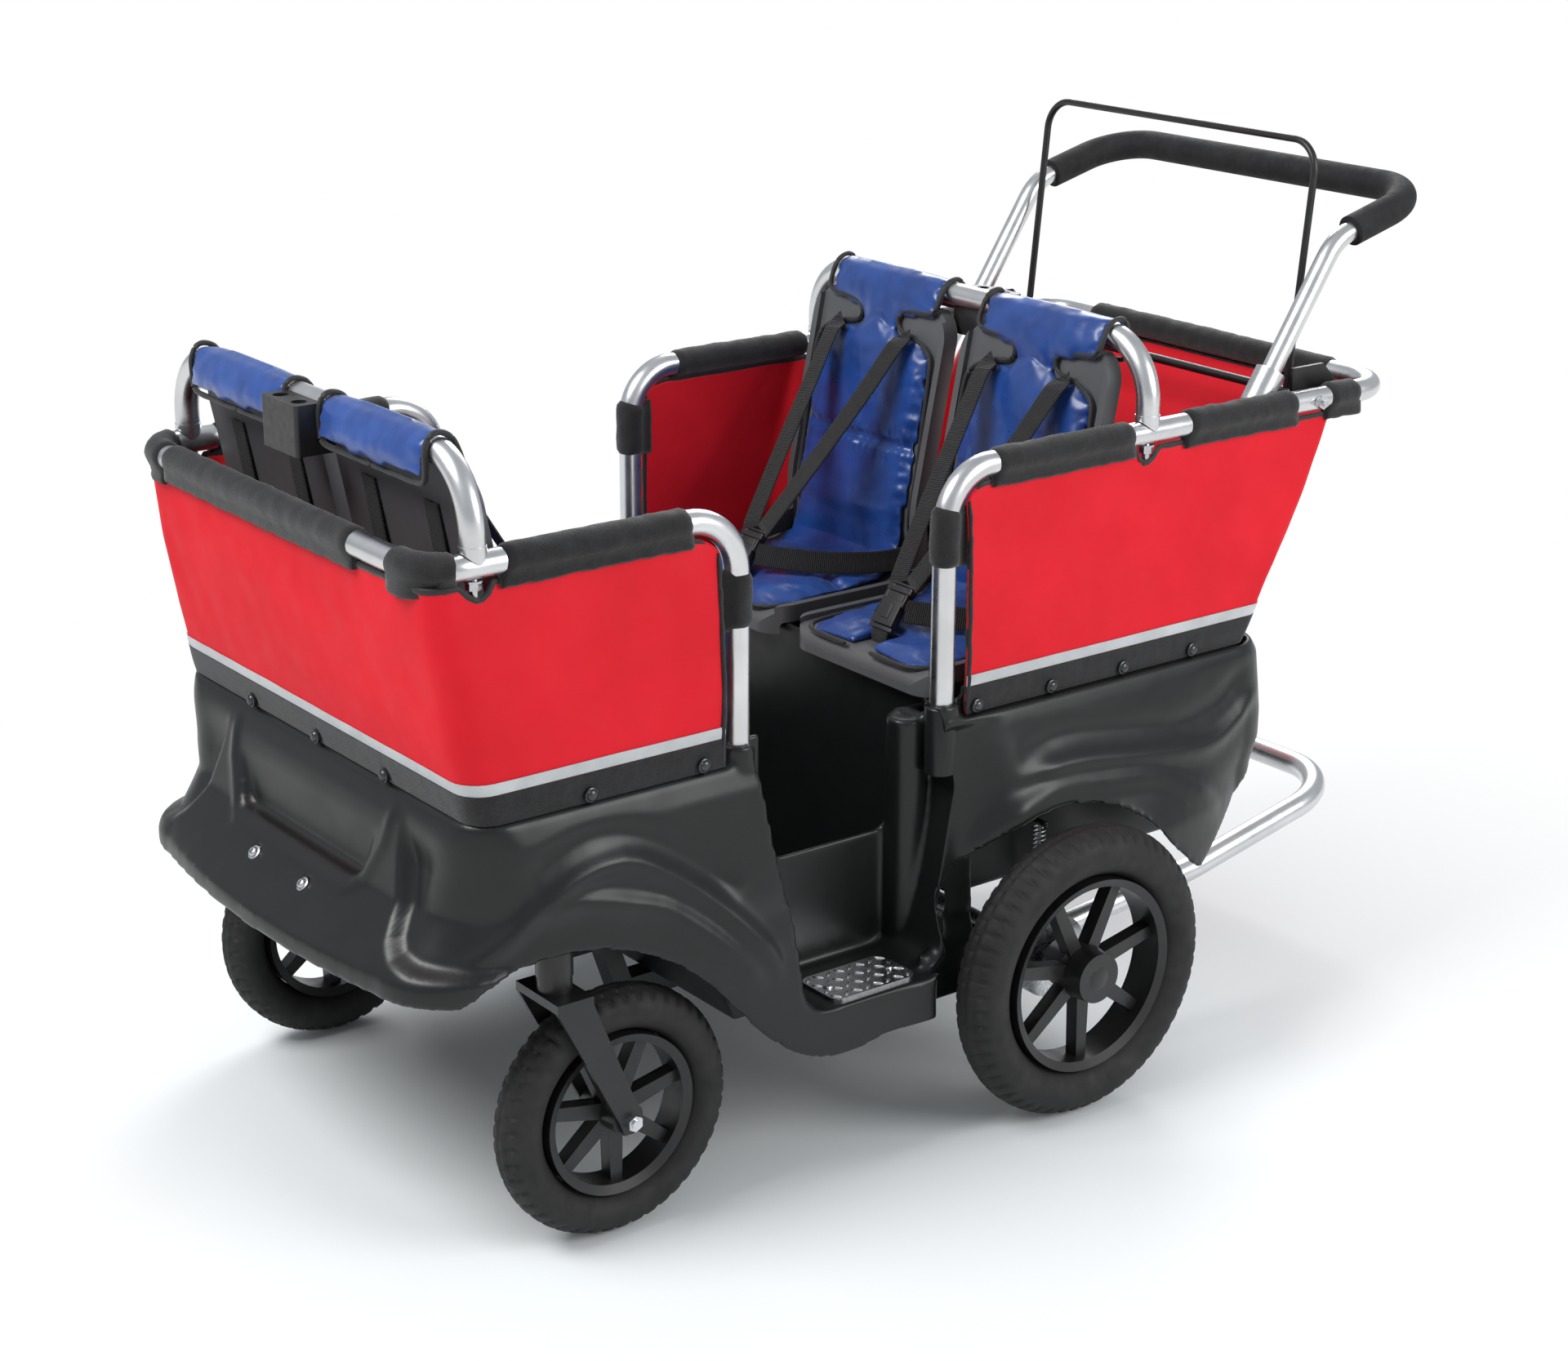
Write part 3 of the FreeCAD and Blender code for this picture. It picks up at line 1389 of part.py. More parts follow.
def make_seat_shell_shape():
    half = d.seat_width / 2
    shell = seat_band(0, d.seat_wall, half)
    for side in SIDES:
        strip = seat_band(d.seat_flange, d.seat_flange + d.seat_wall / 2, d.seat_flange_width / 2)
        strip.translate(Vector(side * (half - d.seat_flange_width / 2), 0, 0))
        shell = shell.fuse(strip)
    low = d.seat_surface - 2 * d.seat_lip_height
    front_view = rounded_loop([
        (Vector(half, -d.seat_depth - d.overrun, low), 0),
        (Vector(half, -d.seat_depth - d.overrun, seat_top_height), d.seat_top_round),
        (Vector(-half, -d.seat_depth - d.overrun, seat_top_height), d.seat_top_round),
        (Vector(-half, -d.seat_depth - d.overrun, low), 0)])
    above = rounded_loop([
        (Vector(half, d.overrun, low), 0), (Vector(half, -d.seat_depth, low), d.seat_front_round),
        (Vector(-half, -d.seat_depth, low), d.seat_front_round), (Vector(-half, d.overrun, low), 0)])
    shell = shell.common(prism(front_view, Vector(0, d.seat_depth + 2 * d.overrun, 0)))
    return shell.common(prism(above, Vector(0, 0, seat_top_height)))


HOOP_STEP = 45


def pad_stations():
    """Place, outward direction, half width, crown and edge of the pad, from lap to hoop."""
    gap = d.fit_gap
    wide = d.pad_half_width
    crown = d.pad_crown
    edge = d.pad_edge
    valley = d.pad_channel
    floor = d.seat_surface + gap
    lumbar_run = Vector(0, d.seat_crease - d.seat_lumbar, d.seat_lumbar_height - d.seat_surface)
    back_run = Vector(0, d.seat_lumbar - d.seat_top_setback, seat_top_height - d.seat_lumbar_height)

    def on_lap(share, half, rise, side):
        y = -d.seat_depth + (d.seat_depth - d.seat_crease - d.seat_crease_round) * share
        return (Vector(0, y, floor), Z_AXIS, half, rise, side)

    def on_back(height, half, rise, side):
        if height < d.seat_lumbar_height:
            share = (height - d.seat_surface) / (d.seat_lumbar_height - d.seat_surface)
            y = -d.seat_crease + lumbar_run.y * share
        else:
            share = (height - d.seat_lumbar_height) / back_run.z
            y = -d.seat_lumbar + back_run.y * share
        normal = Vector(0, -back_run.z, back_run.y).normalize()
        return (Vector(0, y, height) + normal * gap, normal, half, rise, side)

    def round_hoop(angle, rise):
        radial = Vector(0, -math.cos(math.radians(angle)), math.sin(math.radians(angle)))
        reach = (tube_radius + gap) / math.cos(math.radians(HOOP_STEP / 2))
        place_at = Vector(0, 0, hoop_height) + radial * reach
        return (place_at, radial, d.pad_head_half, rise, edge)

    crease = Vector(0, -1, 1).normalize()
    nook = 0.38 * d.seat_crease_round
    crease_place = Vector(0, -d.seat_crease - nook, floor + nook)
    front_share = 0.02
    lap_shares = ((front_share, 0.80, 0.55), (0.12, 0.96, 0.9), (0.3, 1, 1), (0.62, 1, 1),
                  (0.66, 0.99, valley / crown), (0.70, 1, 1), (0.97, 0.97, 0.95))
    stations = [on_lap(s, wide * w, crown * c, edge) for s, w, c in lap_shares]
    stations.append((crease_place, crease, wide * 0.95, crown * 0.7, edge))
    low = d.seat_surface + 1.3 * d.seat_crease_round
    span = hoop_height - d.pad_shoulder_drop - low
    back_shares = ((0.02, 0.97, 0.9), (0.2, 1, 1), (0.46, 1, 1), (0.49, 0.99, valley / crown),
                   (0.52, 1, 1), (0.8, 1, 1), (1, 0.97, 0.9))
    backs = [on_back(low + span * s, wide * w, crown * c, edge) for s, w, c in back_shares]
    lumbar = on_back(d.seat_lumbar_height, wide * 0.98, crown * 0.97, edge)
    stations += sorted(backs + [lumbar], key=lambda station: station[0].z)
    stations.append(on_back(hoop_height - d.pad_shoulder_top_drop, wide * 0.72, crown * 0.6, edge))
    stations.append(on_back(hoop_height - d.pad_neck_low_drop, d.pad_neck_half, crown * 0.55, edge))
    stations.append(on_back(hoop_height - d.pad_neck_high_drop, d.pad_neck_half, crown * 0.55, edge))
    stations.append(on_back(hoop_height - d.pad_head_low_drop, d.pad_head_half * 0.97,
                            crown * 0.6, edge))
    stations.append(on_back(seat_top_height + gap, d.pad_head_half, crown * 0.6, edge))
    stations += [round_hoop(i * HOOP_STEP, crown * 0.62) for i in range(180 // HOOP_STEP + 1)]
    behind = stations[-1][0]
    stations.append((Vector(0, behind.y, hoop_height - d.pad_head_low_drop), Y_AXIS,
                     d.pad_head_half, crown * 0.55, edge))
    return stations


def make_pad_shape():
    """The padded cover: crowned across, pinched at its channels, wrapped over the hoop."""
    wires = []
    for centre, normal, half, rise, edge in pad_stations():
        edge = min(edge, 0.8 * rise)
        side = X_AXIS * half
        low_right = centre - side
        low_left = centre + side
        high_left = low_left + normal * edge - X_AXIS * edge / 2
        high_right = low_right + normal * edge + X_AXIS * edge / 2
        crown = Part.Arc(high_left, centre + normal * rise, high_right).toShape()
        wires.append(Part.Wire([Part.LineSegment(low_right, low_left).toShape(),
                                Part.LineSegment(low_left, high_left).toShape(), crown,
                                Part.LineSegment(high_right, low_right).toShape()]))
    pad = Part.makeLoft(wires, True, True)
    slot = box_between((-d.pad_slot_half, -d.seat_depth - d.overrun, d.seat_surface - d.overrun),
                       (d.pad_slot_half, -d.seat_depth + d.pad_slot_depth,
                        d.seat_surface + d.pad_crown + d.overrun))
    return pad.cut(slot)


SEATS = (
    ("front_left", 1, True),
    ("front_right", -1, True),
    ("rear_left", 1, False),
    ("rear_right", -1, False),
)


def seat_place(side, in_front):
    """Where a seat stands: the front pair faces the rear pair."""
    y = d.front_hoop_y if in_front else d.rear_hoop_y
    turn = Rotation(Z_AXIS, 180) if in_front else Rotation()
    return Placement(Vector(side * d.seat_centre, y, 0), turn)


def ribbon(points, across):
    """A flat strap through points, each a place and its outward normal."""
    wires = []
    for centre, normal in points:
        wide = across * d.webbing_width / 2
        thick = normal * d.webbing_thickness
        corners = [centre - wide, centre + wide, centre + wide + thick, centre - wide + thick]
        wires.append(Part.makePolygon(corners + [corners[0]]))
    return Part.makeLoft(wires, True, True)


def pad_surface(stations, height, lift):
    """A place on the back of the pad at a height, lifted off its crown."""
    for low, high in zip(stations, stations[1:]):
        a = low[0] + low[1] * (low[3] + lift)
        b = high[0] + high[1] * (high[3] + lift)
        if a.z <= height <= b.z and low[0].z > d.seat_surface + d.seat_crease_round / 5:
            share = (height - a.z) / (b.z - a.z)
            return a + (b - a) * share, low[1]
    raise ValueError(height)


def make_harness_shapes():
    """Shoulder straps, lap belts and crotch strap of one seat, and their buckle."""
    lift = d.webbing_lift
    along = Vector(0, 3, 4).normalize()
    normal = Vector(0, -4, 3).normalize()
    half_length = d.buckle_length / 2
    pad_top = d.seat_surface + d.fit_gap + d.pad_crown
    buckle_at = Vector(0, -d.buckle_setback, pad_top + lift + along.z * half_length
                       + normal.z * d.buckle_thickness / 2)
    buckle = Part.makeBox(d.buckle_width, d.buckle_thickness, d.buckle_length,
                          Vector(-d.buckle_width / 2, -d.buckle_thickness / 2, -half_length))
    buckle = buckle.makeFillet(d.buckle_thickness / 4, buckle.Edges)
    buckle.rotate(Vector(0, 0, 0), X_AXIS, -math.degrees(math.atan2(along.y, along.z)))
    buckle.translate(buckle_at)
    middle = normal * (d.webbing_thickness / 2)
    straps = []
    top, top_normal = pad_surface(pad_stations(), hoop_height - d.strap_top_drop, lift)
    head = buckle_at + along * (half_length + lift) - middle
    for side in SIDES:
        spread = X_AXIS * side * (d.webbing_width / 2 + lift)
        straps.append(ribbon([(top + X_AXIS * side * d.strap_half_spread, top_normal),
                              (head + spread, normal)], X_AXIS))
        anchor = Vector(side * d.pad_half_width, -d.lap_anchor_setback, d.lap_anchor_height)
        hip = buckle_at + X_AXIS * side * (d.buckle_width / 2 + lift)
        run = hip - anchor
        outward = Vector(run.y, -run.x, 0).normalize()
        if outward.x * side < 0:
            outward = -outward
        straps.append(ribbon([(anchor, outward), (hip, outward)], Z_AXIS))
    foot = buckle_at - along * (half_length + lift) - middle
    slot_floor = Vector(0, foot.y, d.seat_surface + lift)
    straps.append(ribbon([(slot_floor, -Y_AXIS), (foot, normal)], X_AXIS))
    return straps, buckle


def make_seats():
    shell = make_seat_shell_shape()
    pad = make_pad_shape()
    straps, buckle = make_harness_shapes()
    belts = {True: [], False: []}
    buckles = []
    for name, side, in_front in SEATS:
        at = seat_place(side, in_front)
        feature("seat_shell_" + name, shell.copy(), at)
        feature("seat_pad_" + name, pad.copy(), at)
        for strap in straps:
            moved = strap.copy()
            moved.Placement = at.multiply(moved.Placement)
            belts[in_front].append(moved)
        moved = buckle.copy()
        moved.Placement = at.multiply(moved.Placement)
        buckles.append(moved)
    feature("harness_front", Part.makeCompound(belts[True]))
    feature("harness_rear", Part.makeCompound(belts[False]))
    feature("harness_buckles", Part.makeCompound(buckles))


def make_pole_block(name, hoop_y, outward):
    """A block clamped on a hoop, with two bores for canopy poles."""
    depth = d.pole_block_depth
    low_y = hoop_y - depth / 2 + outward * (depth / 2 - tube_radius / 5)
    low_z = hoop_height + d.pole_block_rise - d.pole_block_height
    body = new_body(name)
    half = d.pole_block_width / 2
    plan = outline_sketch(body, name + "_plan", "XY_Plane",
                          [((-half, 0), (half, 0), (half, depth), (-half, depth))])
    blank = padded(body, plan, d.pole_block_height)
    rounded(body, blank, edges_along(blank.Shape, Z_AXIS), d.pole_block_round)
    groove_y = hoop_y - low_y
    groove = outline_sketch(body, name + "_groove", "YZ_Plane", [],
                            [((groove_y, hoop_height - low_z), tube_radius + d.fit_gap)])
    pocketed(body, groove, 2 * d.pole_block_width, True)
    bore_y = depth - d.pole_bore_setback if outward > 0 else d.pole_bore_setback
    bores = outline_sketch(body, name + "_bores", "XY_Plane", [],
                           [((d.pole_bore_pitch / 2, bore_y), d.pole_bore / 2),
                            ((-d.pole_bore_pitch / 2, bore_y), d.pole_bore / 2)])
    bores.AttachmentOffset = Placement(Vector(0, 0, d.pole_block_height), Rotation())
    bores.setExpression("AttachmentOffset.Base.z", d.pole_block_height.text)
    pocketed(body, bores, d.pole_bore_depth)
    place(body, (0, low_y, low_z))
    keep(body, name)


# Chassis, rear axle and rear bumper bar

def make_chassis():
    """Cross beam under the front basin, two spines below the footwell, axle brackets."""
    beam_top = d.front_basin_floor - d.tub_wall
    beam_low = beam_top - d.beam_height
    half_width = d.beam_width / 2
    beam = box_between((-d.beam_half_span, d.caster_y - half_width, beam_low),
                       (d.beam_half_span, d.caster_y + half_width, beam_top))
    core = box_between(
        (-d.beam_half_span - d.overrun, d.caster_y - half_width + d.beam_wall, beam_low + d.beam_wall),
        (d.beam_half_span + d.overrun, d.caster_y + half_width - d.beam_wall, beam_top - d.beam_wall))
    frame = beam.cut(core)
    size = d.spine_size
    low = d.spine_low_height - size / 2
    axle_low = d.rear_wheel_radius - d.axle_bar_diameter / 2
    for side in SIDES:
        x = side * d.spine_half_span - size / 2
        start_y = d.caster_y + half_width
        drop_y = d.footwell_slope_foot_y - size
        outline = ((start_y, beam_top, 0), (d.spine_drop_y, beam_top, 0),
                   (drop_y, low + size, 0), (d.rear_axle_y, low + size, 0),
                   (d.rear_axle_y, low, 0), (drop_y - size / 2, low, 0),
                   (d.spine_drop_y - size / 2, beam_top - size, 0), (start_y, beam_top - size, 0))
        frame = frame.fuse(side_prism(outline, x, x + size))
    for side in SIDES:
        x = side * d.bar_half_span
        half = d.axle_bracket_width / 2
        top = axle_low
        bracket = box_between((x - half, d.rear_axle_y - half, d.bar_start_height),
                              (x + half, d.rear_axle_y + half, top))
        frame = frame.fuse(bracket)
    tie_low = low + size
    tie = box_between((-d.bar_half_span + d.axle_bracket_width / 2, d.rear_axle_y - half_width / 2, low),
                      (d.bar_half_span - d.axle_bracket_width / 2, d.rear_axle_y + half_width / 2,
                       min(tie_low, axle_low)))
    frame = frame.fuse(tie)
    frame = frame.cut(bar_rod(d.bar_diameter / 2 + d.fit_gap))
    feature("chassis_frame", frame.removeSplitter())


def make_caster_mounts():
    """Bearing housings welded to the beam ends, each with its two bearing rings."""
    solids = []
    radius = d.housing_diameter / 2
    bore = d.stem_diameter / 2 + d.fit_gap
    for side in SIDES:
        centre = Vector(side * d.caster_half_span, d.caster_y, d.housing_low)
        housing = Part.makeCylinder(radius, d.housing_high - d.housing_low, centre)
        arm_low = min(side * d.beam_half_span, side * d.caster_half_span)
        arm = box_between((arm_low, d.caster_y - d.beam_width / 4, d.front_basin_floor - d.tub_wall
                           - d.beam_height),
                          (arm_low + abs(d.caster_half_span - d.beam_half_span),
                           d.caster_y + d.beam_width / 4, d.housing_high))
        solids.append(housing.fuse(arm).cut(Part.makeCylinder(bore, 4 * radius,
                                                              centre - Z_AXIS * radius)))
    feature("caster_mounts", Part.makeCompound(solids))


def make_rear_axle():
    """A through bar with a turned spindle at each end."""
    bar = cylinder("rear_axle_bar", d.axle_bar_diameter / 2, 2 * d.axle_bar_half,
                   (-d.axle_bar_half, d.rear_axle_y, d.rear_wheel_radius), (1, 0, 0))
    spindle = cylinder("rear_axle_spindle", d.spindle_diameter / 2, 2 * d.spindle_half,
                       (-d.spindle_half, d.rear_axle_y, d.rear_wheel_radius), (1, 0, 0))
    keep(fused("rear_axle", [bar, spindle]), "rear_axle")


def bar_rod(radius):
    half = d.bar_half_span
    points = [Vector(half, d.bar_start_y, d.bar_start_height),
              Vector(half, d.bar_knee_y, d.bar_knee_height),
              Vector(half, d.bar_tail_y, d.bar_tail_height),
              Vector(-half, d.bar_tail_y, d.bar_tail_height),
              Vector(-half, d.bar_knee_y, d.bar_knee_height),
              Vector(-half, d.bar_start_y, d.bar_start_height)]
    bend = d.bar_bend
    return rod(points, [2 * bend, bend, bend, 2 * bend], radius)


def make_bumper_bar():
    outer = d.bar_diameter / 2
    feature("bumper_bar", bar_rod(outer).cut(bar_rod(outer - d.bar_wall)))


# Casters

def make_caster_fork(side):
    """A bent fork: crown, two raked blades and the stem that turns in the housing."""
    name = "caster_fork_" + SIDE_NAMES[side]
    body = new_body(name)
    top = d.crown_low + d.crown_height
    half = d.crown_half_length
    end = d.blade_end_half
    trail = d.caster_trail
    axle = d.front_wheel_radius
    outline = ((-half, top), (-half, d.crown_low), (trail - end, axle), (trail - end * 0.6, axle - end),
               (trail + end * 0.6, axle - end), (trail + end, axle), (half, d.crown_low), (half, top))
    profile = outline_sketch(body, name + "_profile", "YZ_Plane", [outline])
    padded(body, profile, d.fork_inner + 2 * d.blade_thickness, True)
    inner = d.fork_inner / 2
    gate = outline_sketch(body, name + "_gate", "XZ_Plane",
                          [((-inner, 0), (inner, 0), (inner, d.crown_low), (-inner, d.crown_low))])
    pocketed(body, gate, 2 * (trail + 2 * half), True)
    bore = outline_sketch(body, name + "_bore", "YZ_Plane", [],
                          [((trail, axle), d.front_bolt_diameter / 2)])
    pocketed(body, bore, 2 * d.fork_inner, True)
    washer = outline_sketch(body, name + "_washer", "XY_Plane", [],
                            [((0, 0), d.crown_washer_diameter / 2)])
    washer.AttachmentOffset = Placement(Vector(0, 0, top), Rotation())
    washer.setExpression("AttachmentOffset.Base.z", top.text)
    padded(body, washer, d.housing_low - top - d.fit_gap)
    stem = outline_sketch(body, name + "_stem", "XY_Plane", [], [((0, 0), d.stem_diameter / 2)])
    stem.AttachmentOffset = Placement(Vector(0, 0, top), Rotation())
    stem.setExpression("AttachmentOffset.Base.z", top.text)
    padded(body, stem, d.stem_top - top)
    place(body, (side * d.caster_half_span, d.caster_y, 0))
    keep(body, name)


def make_front_axle(side):
    """The wheel bolt with its head and nut outside the fork blades."""
    name = "front_axle_" + SIDE_NAMES[side]
    x = side * d.caster_half_span
    y = d.caster_y + d.caster_trail
    z = d.front_wheel_radius
    reach = d.fork_inner / 2 + d.blade_thickness
    end = reach + d.front_bolt_head_height
    shank = cylinder(name + "_shank", d.front_bolt_diameter / 2, 2 * end + d.blade_thickness,
                     (x - end - d.blade_thickness / 2, y, z), (1, 0, 0))
    heads = [hexagon(name + "_head", d.front_bolt_head / 2, d.front_bolt_head_height,
                     (x + reach, y, z), (1, 0, 0)),
             hexagon(name + "_nut", d.front_bolt_head / 2, d.front_bolt_head_height,
                     (x - end, y, z), (1, 0, 0))]
    keep(fused(name, [shank] + heads), name)


# Wheels, drawn about their axle along Z and turned onto X

def make_tyre(name, at, radius, bead, width):
    half = width / 2
    shoulder = d.tread_shoulder
    inset = d.bead_inset
    body = new_body(name)
    outline = ((bead, -half + inset), ((bead + radius) / 2 - inset, -half),
               ((bead + radius) / 2 + inset, -half), (radius - shoulder, -half + shoulder / 2),
               (radius - shoulder / 4, -half + 1.6 * shoulder), (radius, -half + 2.4 * shoulder),
               (radius, half - 2.4 * shoulder),
               (radius - shoulder / 4, half - 1.6 * shoulder), (radius - shoulder, half - shoulder / 2),
               ((bead + radius) / 2 + inset, half), ((bead + radius) / 2 - inset, half),
               (bead, half - inset))
    profile = outline_sketch(body, name + "_profile", "XZ_Plane", [outline])
    revolved(body, profile, "V_Axis")
    place_wheel(body, at)
    keep(body, name)


def place_wheel(body, at):
    body.Placement = Placement(Vector(*at), Rotation(Y_AXIS, 90))
    for axis, value in zip("xyz", at):
        body.setExpression("Placement.Base." + axis, value.text)


def make_rim(name, at, bead, rim_width, hub_radius, hub_width, bore):
    """A moulded wheel: hub, spokes and a channelled rim."""
    body = new_body(name)
    half_hub = hub_width / 2
    hub = outline_sketch(body, name + "_hub", "XZ_Plane",
                         [((bore, -half_hub), (hub_radius * 0.8, -half_hub), (hub_radius, 0),
                           (hub_radius * 0.9, half_hub), (bore, half_hub))])
    revolved(body, hub, "V_Axis")
    rim_inner = bead - d.fit_gap - d.rim_thickness
    half_spoke = d.spoke_width / 2
    spoke = outline_sketch(body, name + "_spoke", "XY_Plane",
                           [((bore + half_spoke, -half_spoke * 1.3),
                             (rim_inner + d.rim_lip / 2, -half_spoke),
                             (rim_inner + d.rim_lip / 2, half_spoke),
                             (bore + half_spoke, half_spoke * 1.3))])
    arm = padded(body, spoke, d.spoke_depth, True)
    pattern = body.newObject("PartDesign::PolarPattern", name + "_spokes")
    pattern.Originals = [arm]
    pattern.Axis = (spoke, ["N_Axis"])
    pattern.Angle = 360
    pattern.Occurrences = int(d.spoke_count)
    pattern.setExpression("Occurrences", d.spoke_count.text)
    body.Tip = pattern
    doc.recompute()
    half = rim_width / 2
    lip = d.rim_lip
    outer = bead - d.fit_gap
    ring = outline_sketch(body, name + "_ring", "XZ_Plane",
                          [((rim_inner, -half + lip), (outer, -half), (outer, half),
                            (rim_inner, half - lip))])
    revolved(body, ring, "V_Axis")
    place_wheel(body, at)
    keep(body, name)


def make_wheels():
    for side in SIDES:
        tag = SIDE_NAMES[side]
        front = (side * d.caster_half_span, d.caster_y + d.caster_trail, d.front_wheel_radius)
        rear = (side * d.rear_wheel_centre, d.rear_axle_y, d.rear_wheel_radius)
        make_tyre("front_tyre_" + tag, front, d.front_wheel_radius, d.front_bead_radius,
                  d.front_tyre_width)
        make_rim("front_rim_" + tag, front, d.front_bead_radius, d.front_rim_width,
                 d.front_hub_radius, d.front_hub_width,
                 d.front_bolt_diameter / 2 + d.hub_bore_gap)
        make_tyre("rear_tyre_" + tag, rear, d.rear_wheel_radius, d.rear_bead_radius,
                  d.rear_tyre_width)
        make_rim("rear_rim_" + tag, rear, d.rear_bead_radius, d.rear_rim_width,
                 d.rear_hub_radius, d.rear_hub_width, d.spindle_diameter / 2 + d.hub_bore_gap)


# Brakes

def make_backplates():
    plates = []
    for side in SIDES:
        low = d.backplate_inner if side > 0 else -d.backplate_outer
        tag = "brake_backplate_" + SIDE_NAMES[side]
        disc = cylinder(tag + "_disc", d.backplate_radius, d.backplate_outer - d.backplate_inner,
                        (low, d.rear_axle_y, d.rear_wheel_radius), (1, 0, 0))
        bore = cylinder(tag + "_bore", d.axle_bar_diameter / 2 + d.fit_gap,
                        d.backplate_outer - d.backplate_inner + 2 * d.overrun,
                        (low - d.overrun, d.rear_axle_y, d.rear_wheel_radius), (1, 0, 0))
        plates.append(cut_away(tag, disc, bore))
    grouped("brake_backplates", plates)


lever_pivot_height = d.rear_wheel_radius + d.backplate_radius * 0.66


def make_brake_lever(side):
    """The flat actuating lever beside the backplate, raised from its cam pin."""
    name = "brake_lever_" + SIDE_NAMES[side]
    low = d.brake_lever_place if side > 0 else -d.brake_lever_place - d.brake_lever_thickness
    half = d.brake_lever_width / 2
    lever = block(name + "_arm", (d.brake_lever_thickness, d.brake_lever_width, d.brake_lever_length),
                  (low, d.rear_axle_y - half, lever_pivot_height - half))
    gap_to_plate = d.backplate_inner - d.brake_lever_place - d.brake_lever_thickness
    pin_low = low if side > 0 else low - gap_to_plate + d.fit_gap
    pin = cylinder(name + "_pin", d.brake_pin_diameter / 2,
                   d.brake_lever_thickness + gap_to_plate - d.fit_gap,
                   (pin_low, d.rear_axle_y, lever_pivot_height), (1, 0, 0))
    keep(fused(name, [lever, pin]), name)


def make_springs():
    """Return springs above the brake levers: one wire wound on quarter-turn arcs."""
    turns = int(d.spring_turns)
    radius = d.spring_radius
    wire = d.spring_wire
    x = d.brake_lever_place + d.brake_lever_thickness / 2
    lever_top = lever_pivot_height - d.brake_lever_width / 2 + d.brake_lever_length
    low = lever_top + d.fit_gap + wire / 2
    high = d.spring_peg_height - d.spring_peg_diameter / 2 - d.fit_gap - wire / 2
    pitch = (high - low) / turns

    def on_helix(turn):
        angle = 2 * math.pi * turn
        return Vector(x + radius * math.cos(angle), d.rear_axle_y + radius * math.sin(angle),
                      low + pitch * turn)

    arcs = []
    for i in range(4 * turns):
        arcs.append(Part.Arc(on_helix(i / 4), on_helix((i + 0.5) / 4), on_helix((i + 1) / 4)).toShape())
    first = on_helix(0)
    ahead = Vector(0, 2 * math.pi * radius, pitch)
    ring = Part.Wire(Part.Circle(first, ahead, wire / 2).toShape())
    coil = Part.Wire(arcs).makePipeShell([ring], True, False)
    print("least gap between spring turns", round(pitch - wire, 2))
    feature("brake_springs", both_sides(coil))


# Telescopic handle

def leg_direction():
    """Up along the handle leg, in the side view."""
    rise = math.sqrt(1 - d.handle_lean_share ** 2)
    return Vector(0, float(d.handle_lean_share), rise)


def along_leg(distance, side=1):
    """A point on the leg axis, measured up from the collar top."""
    top = Vector(side * d.handle_half_span, d.handle_collar_y, d.handle_collar_height)
    return top + leg_direction() * distance


def plunger_axis():
    up = leg_direction()
    return Vector(0, up.z, -up.y)


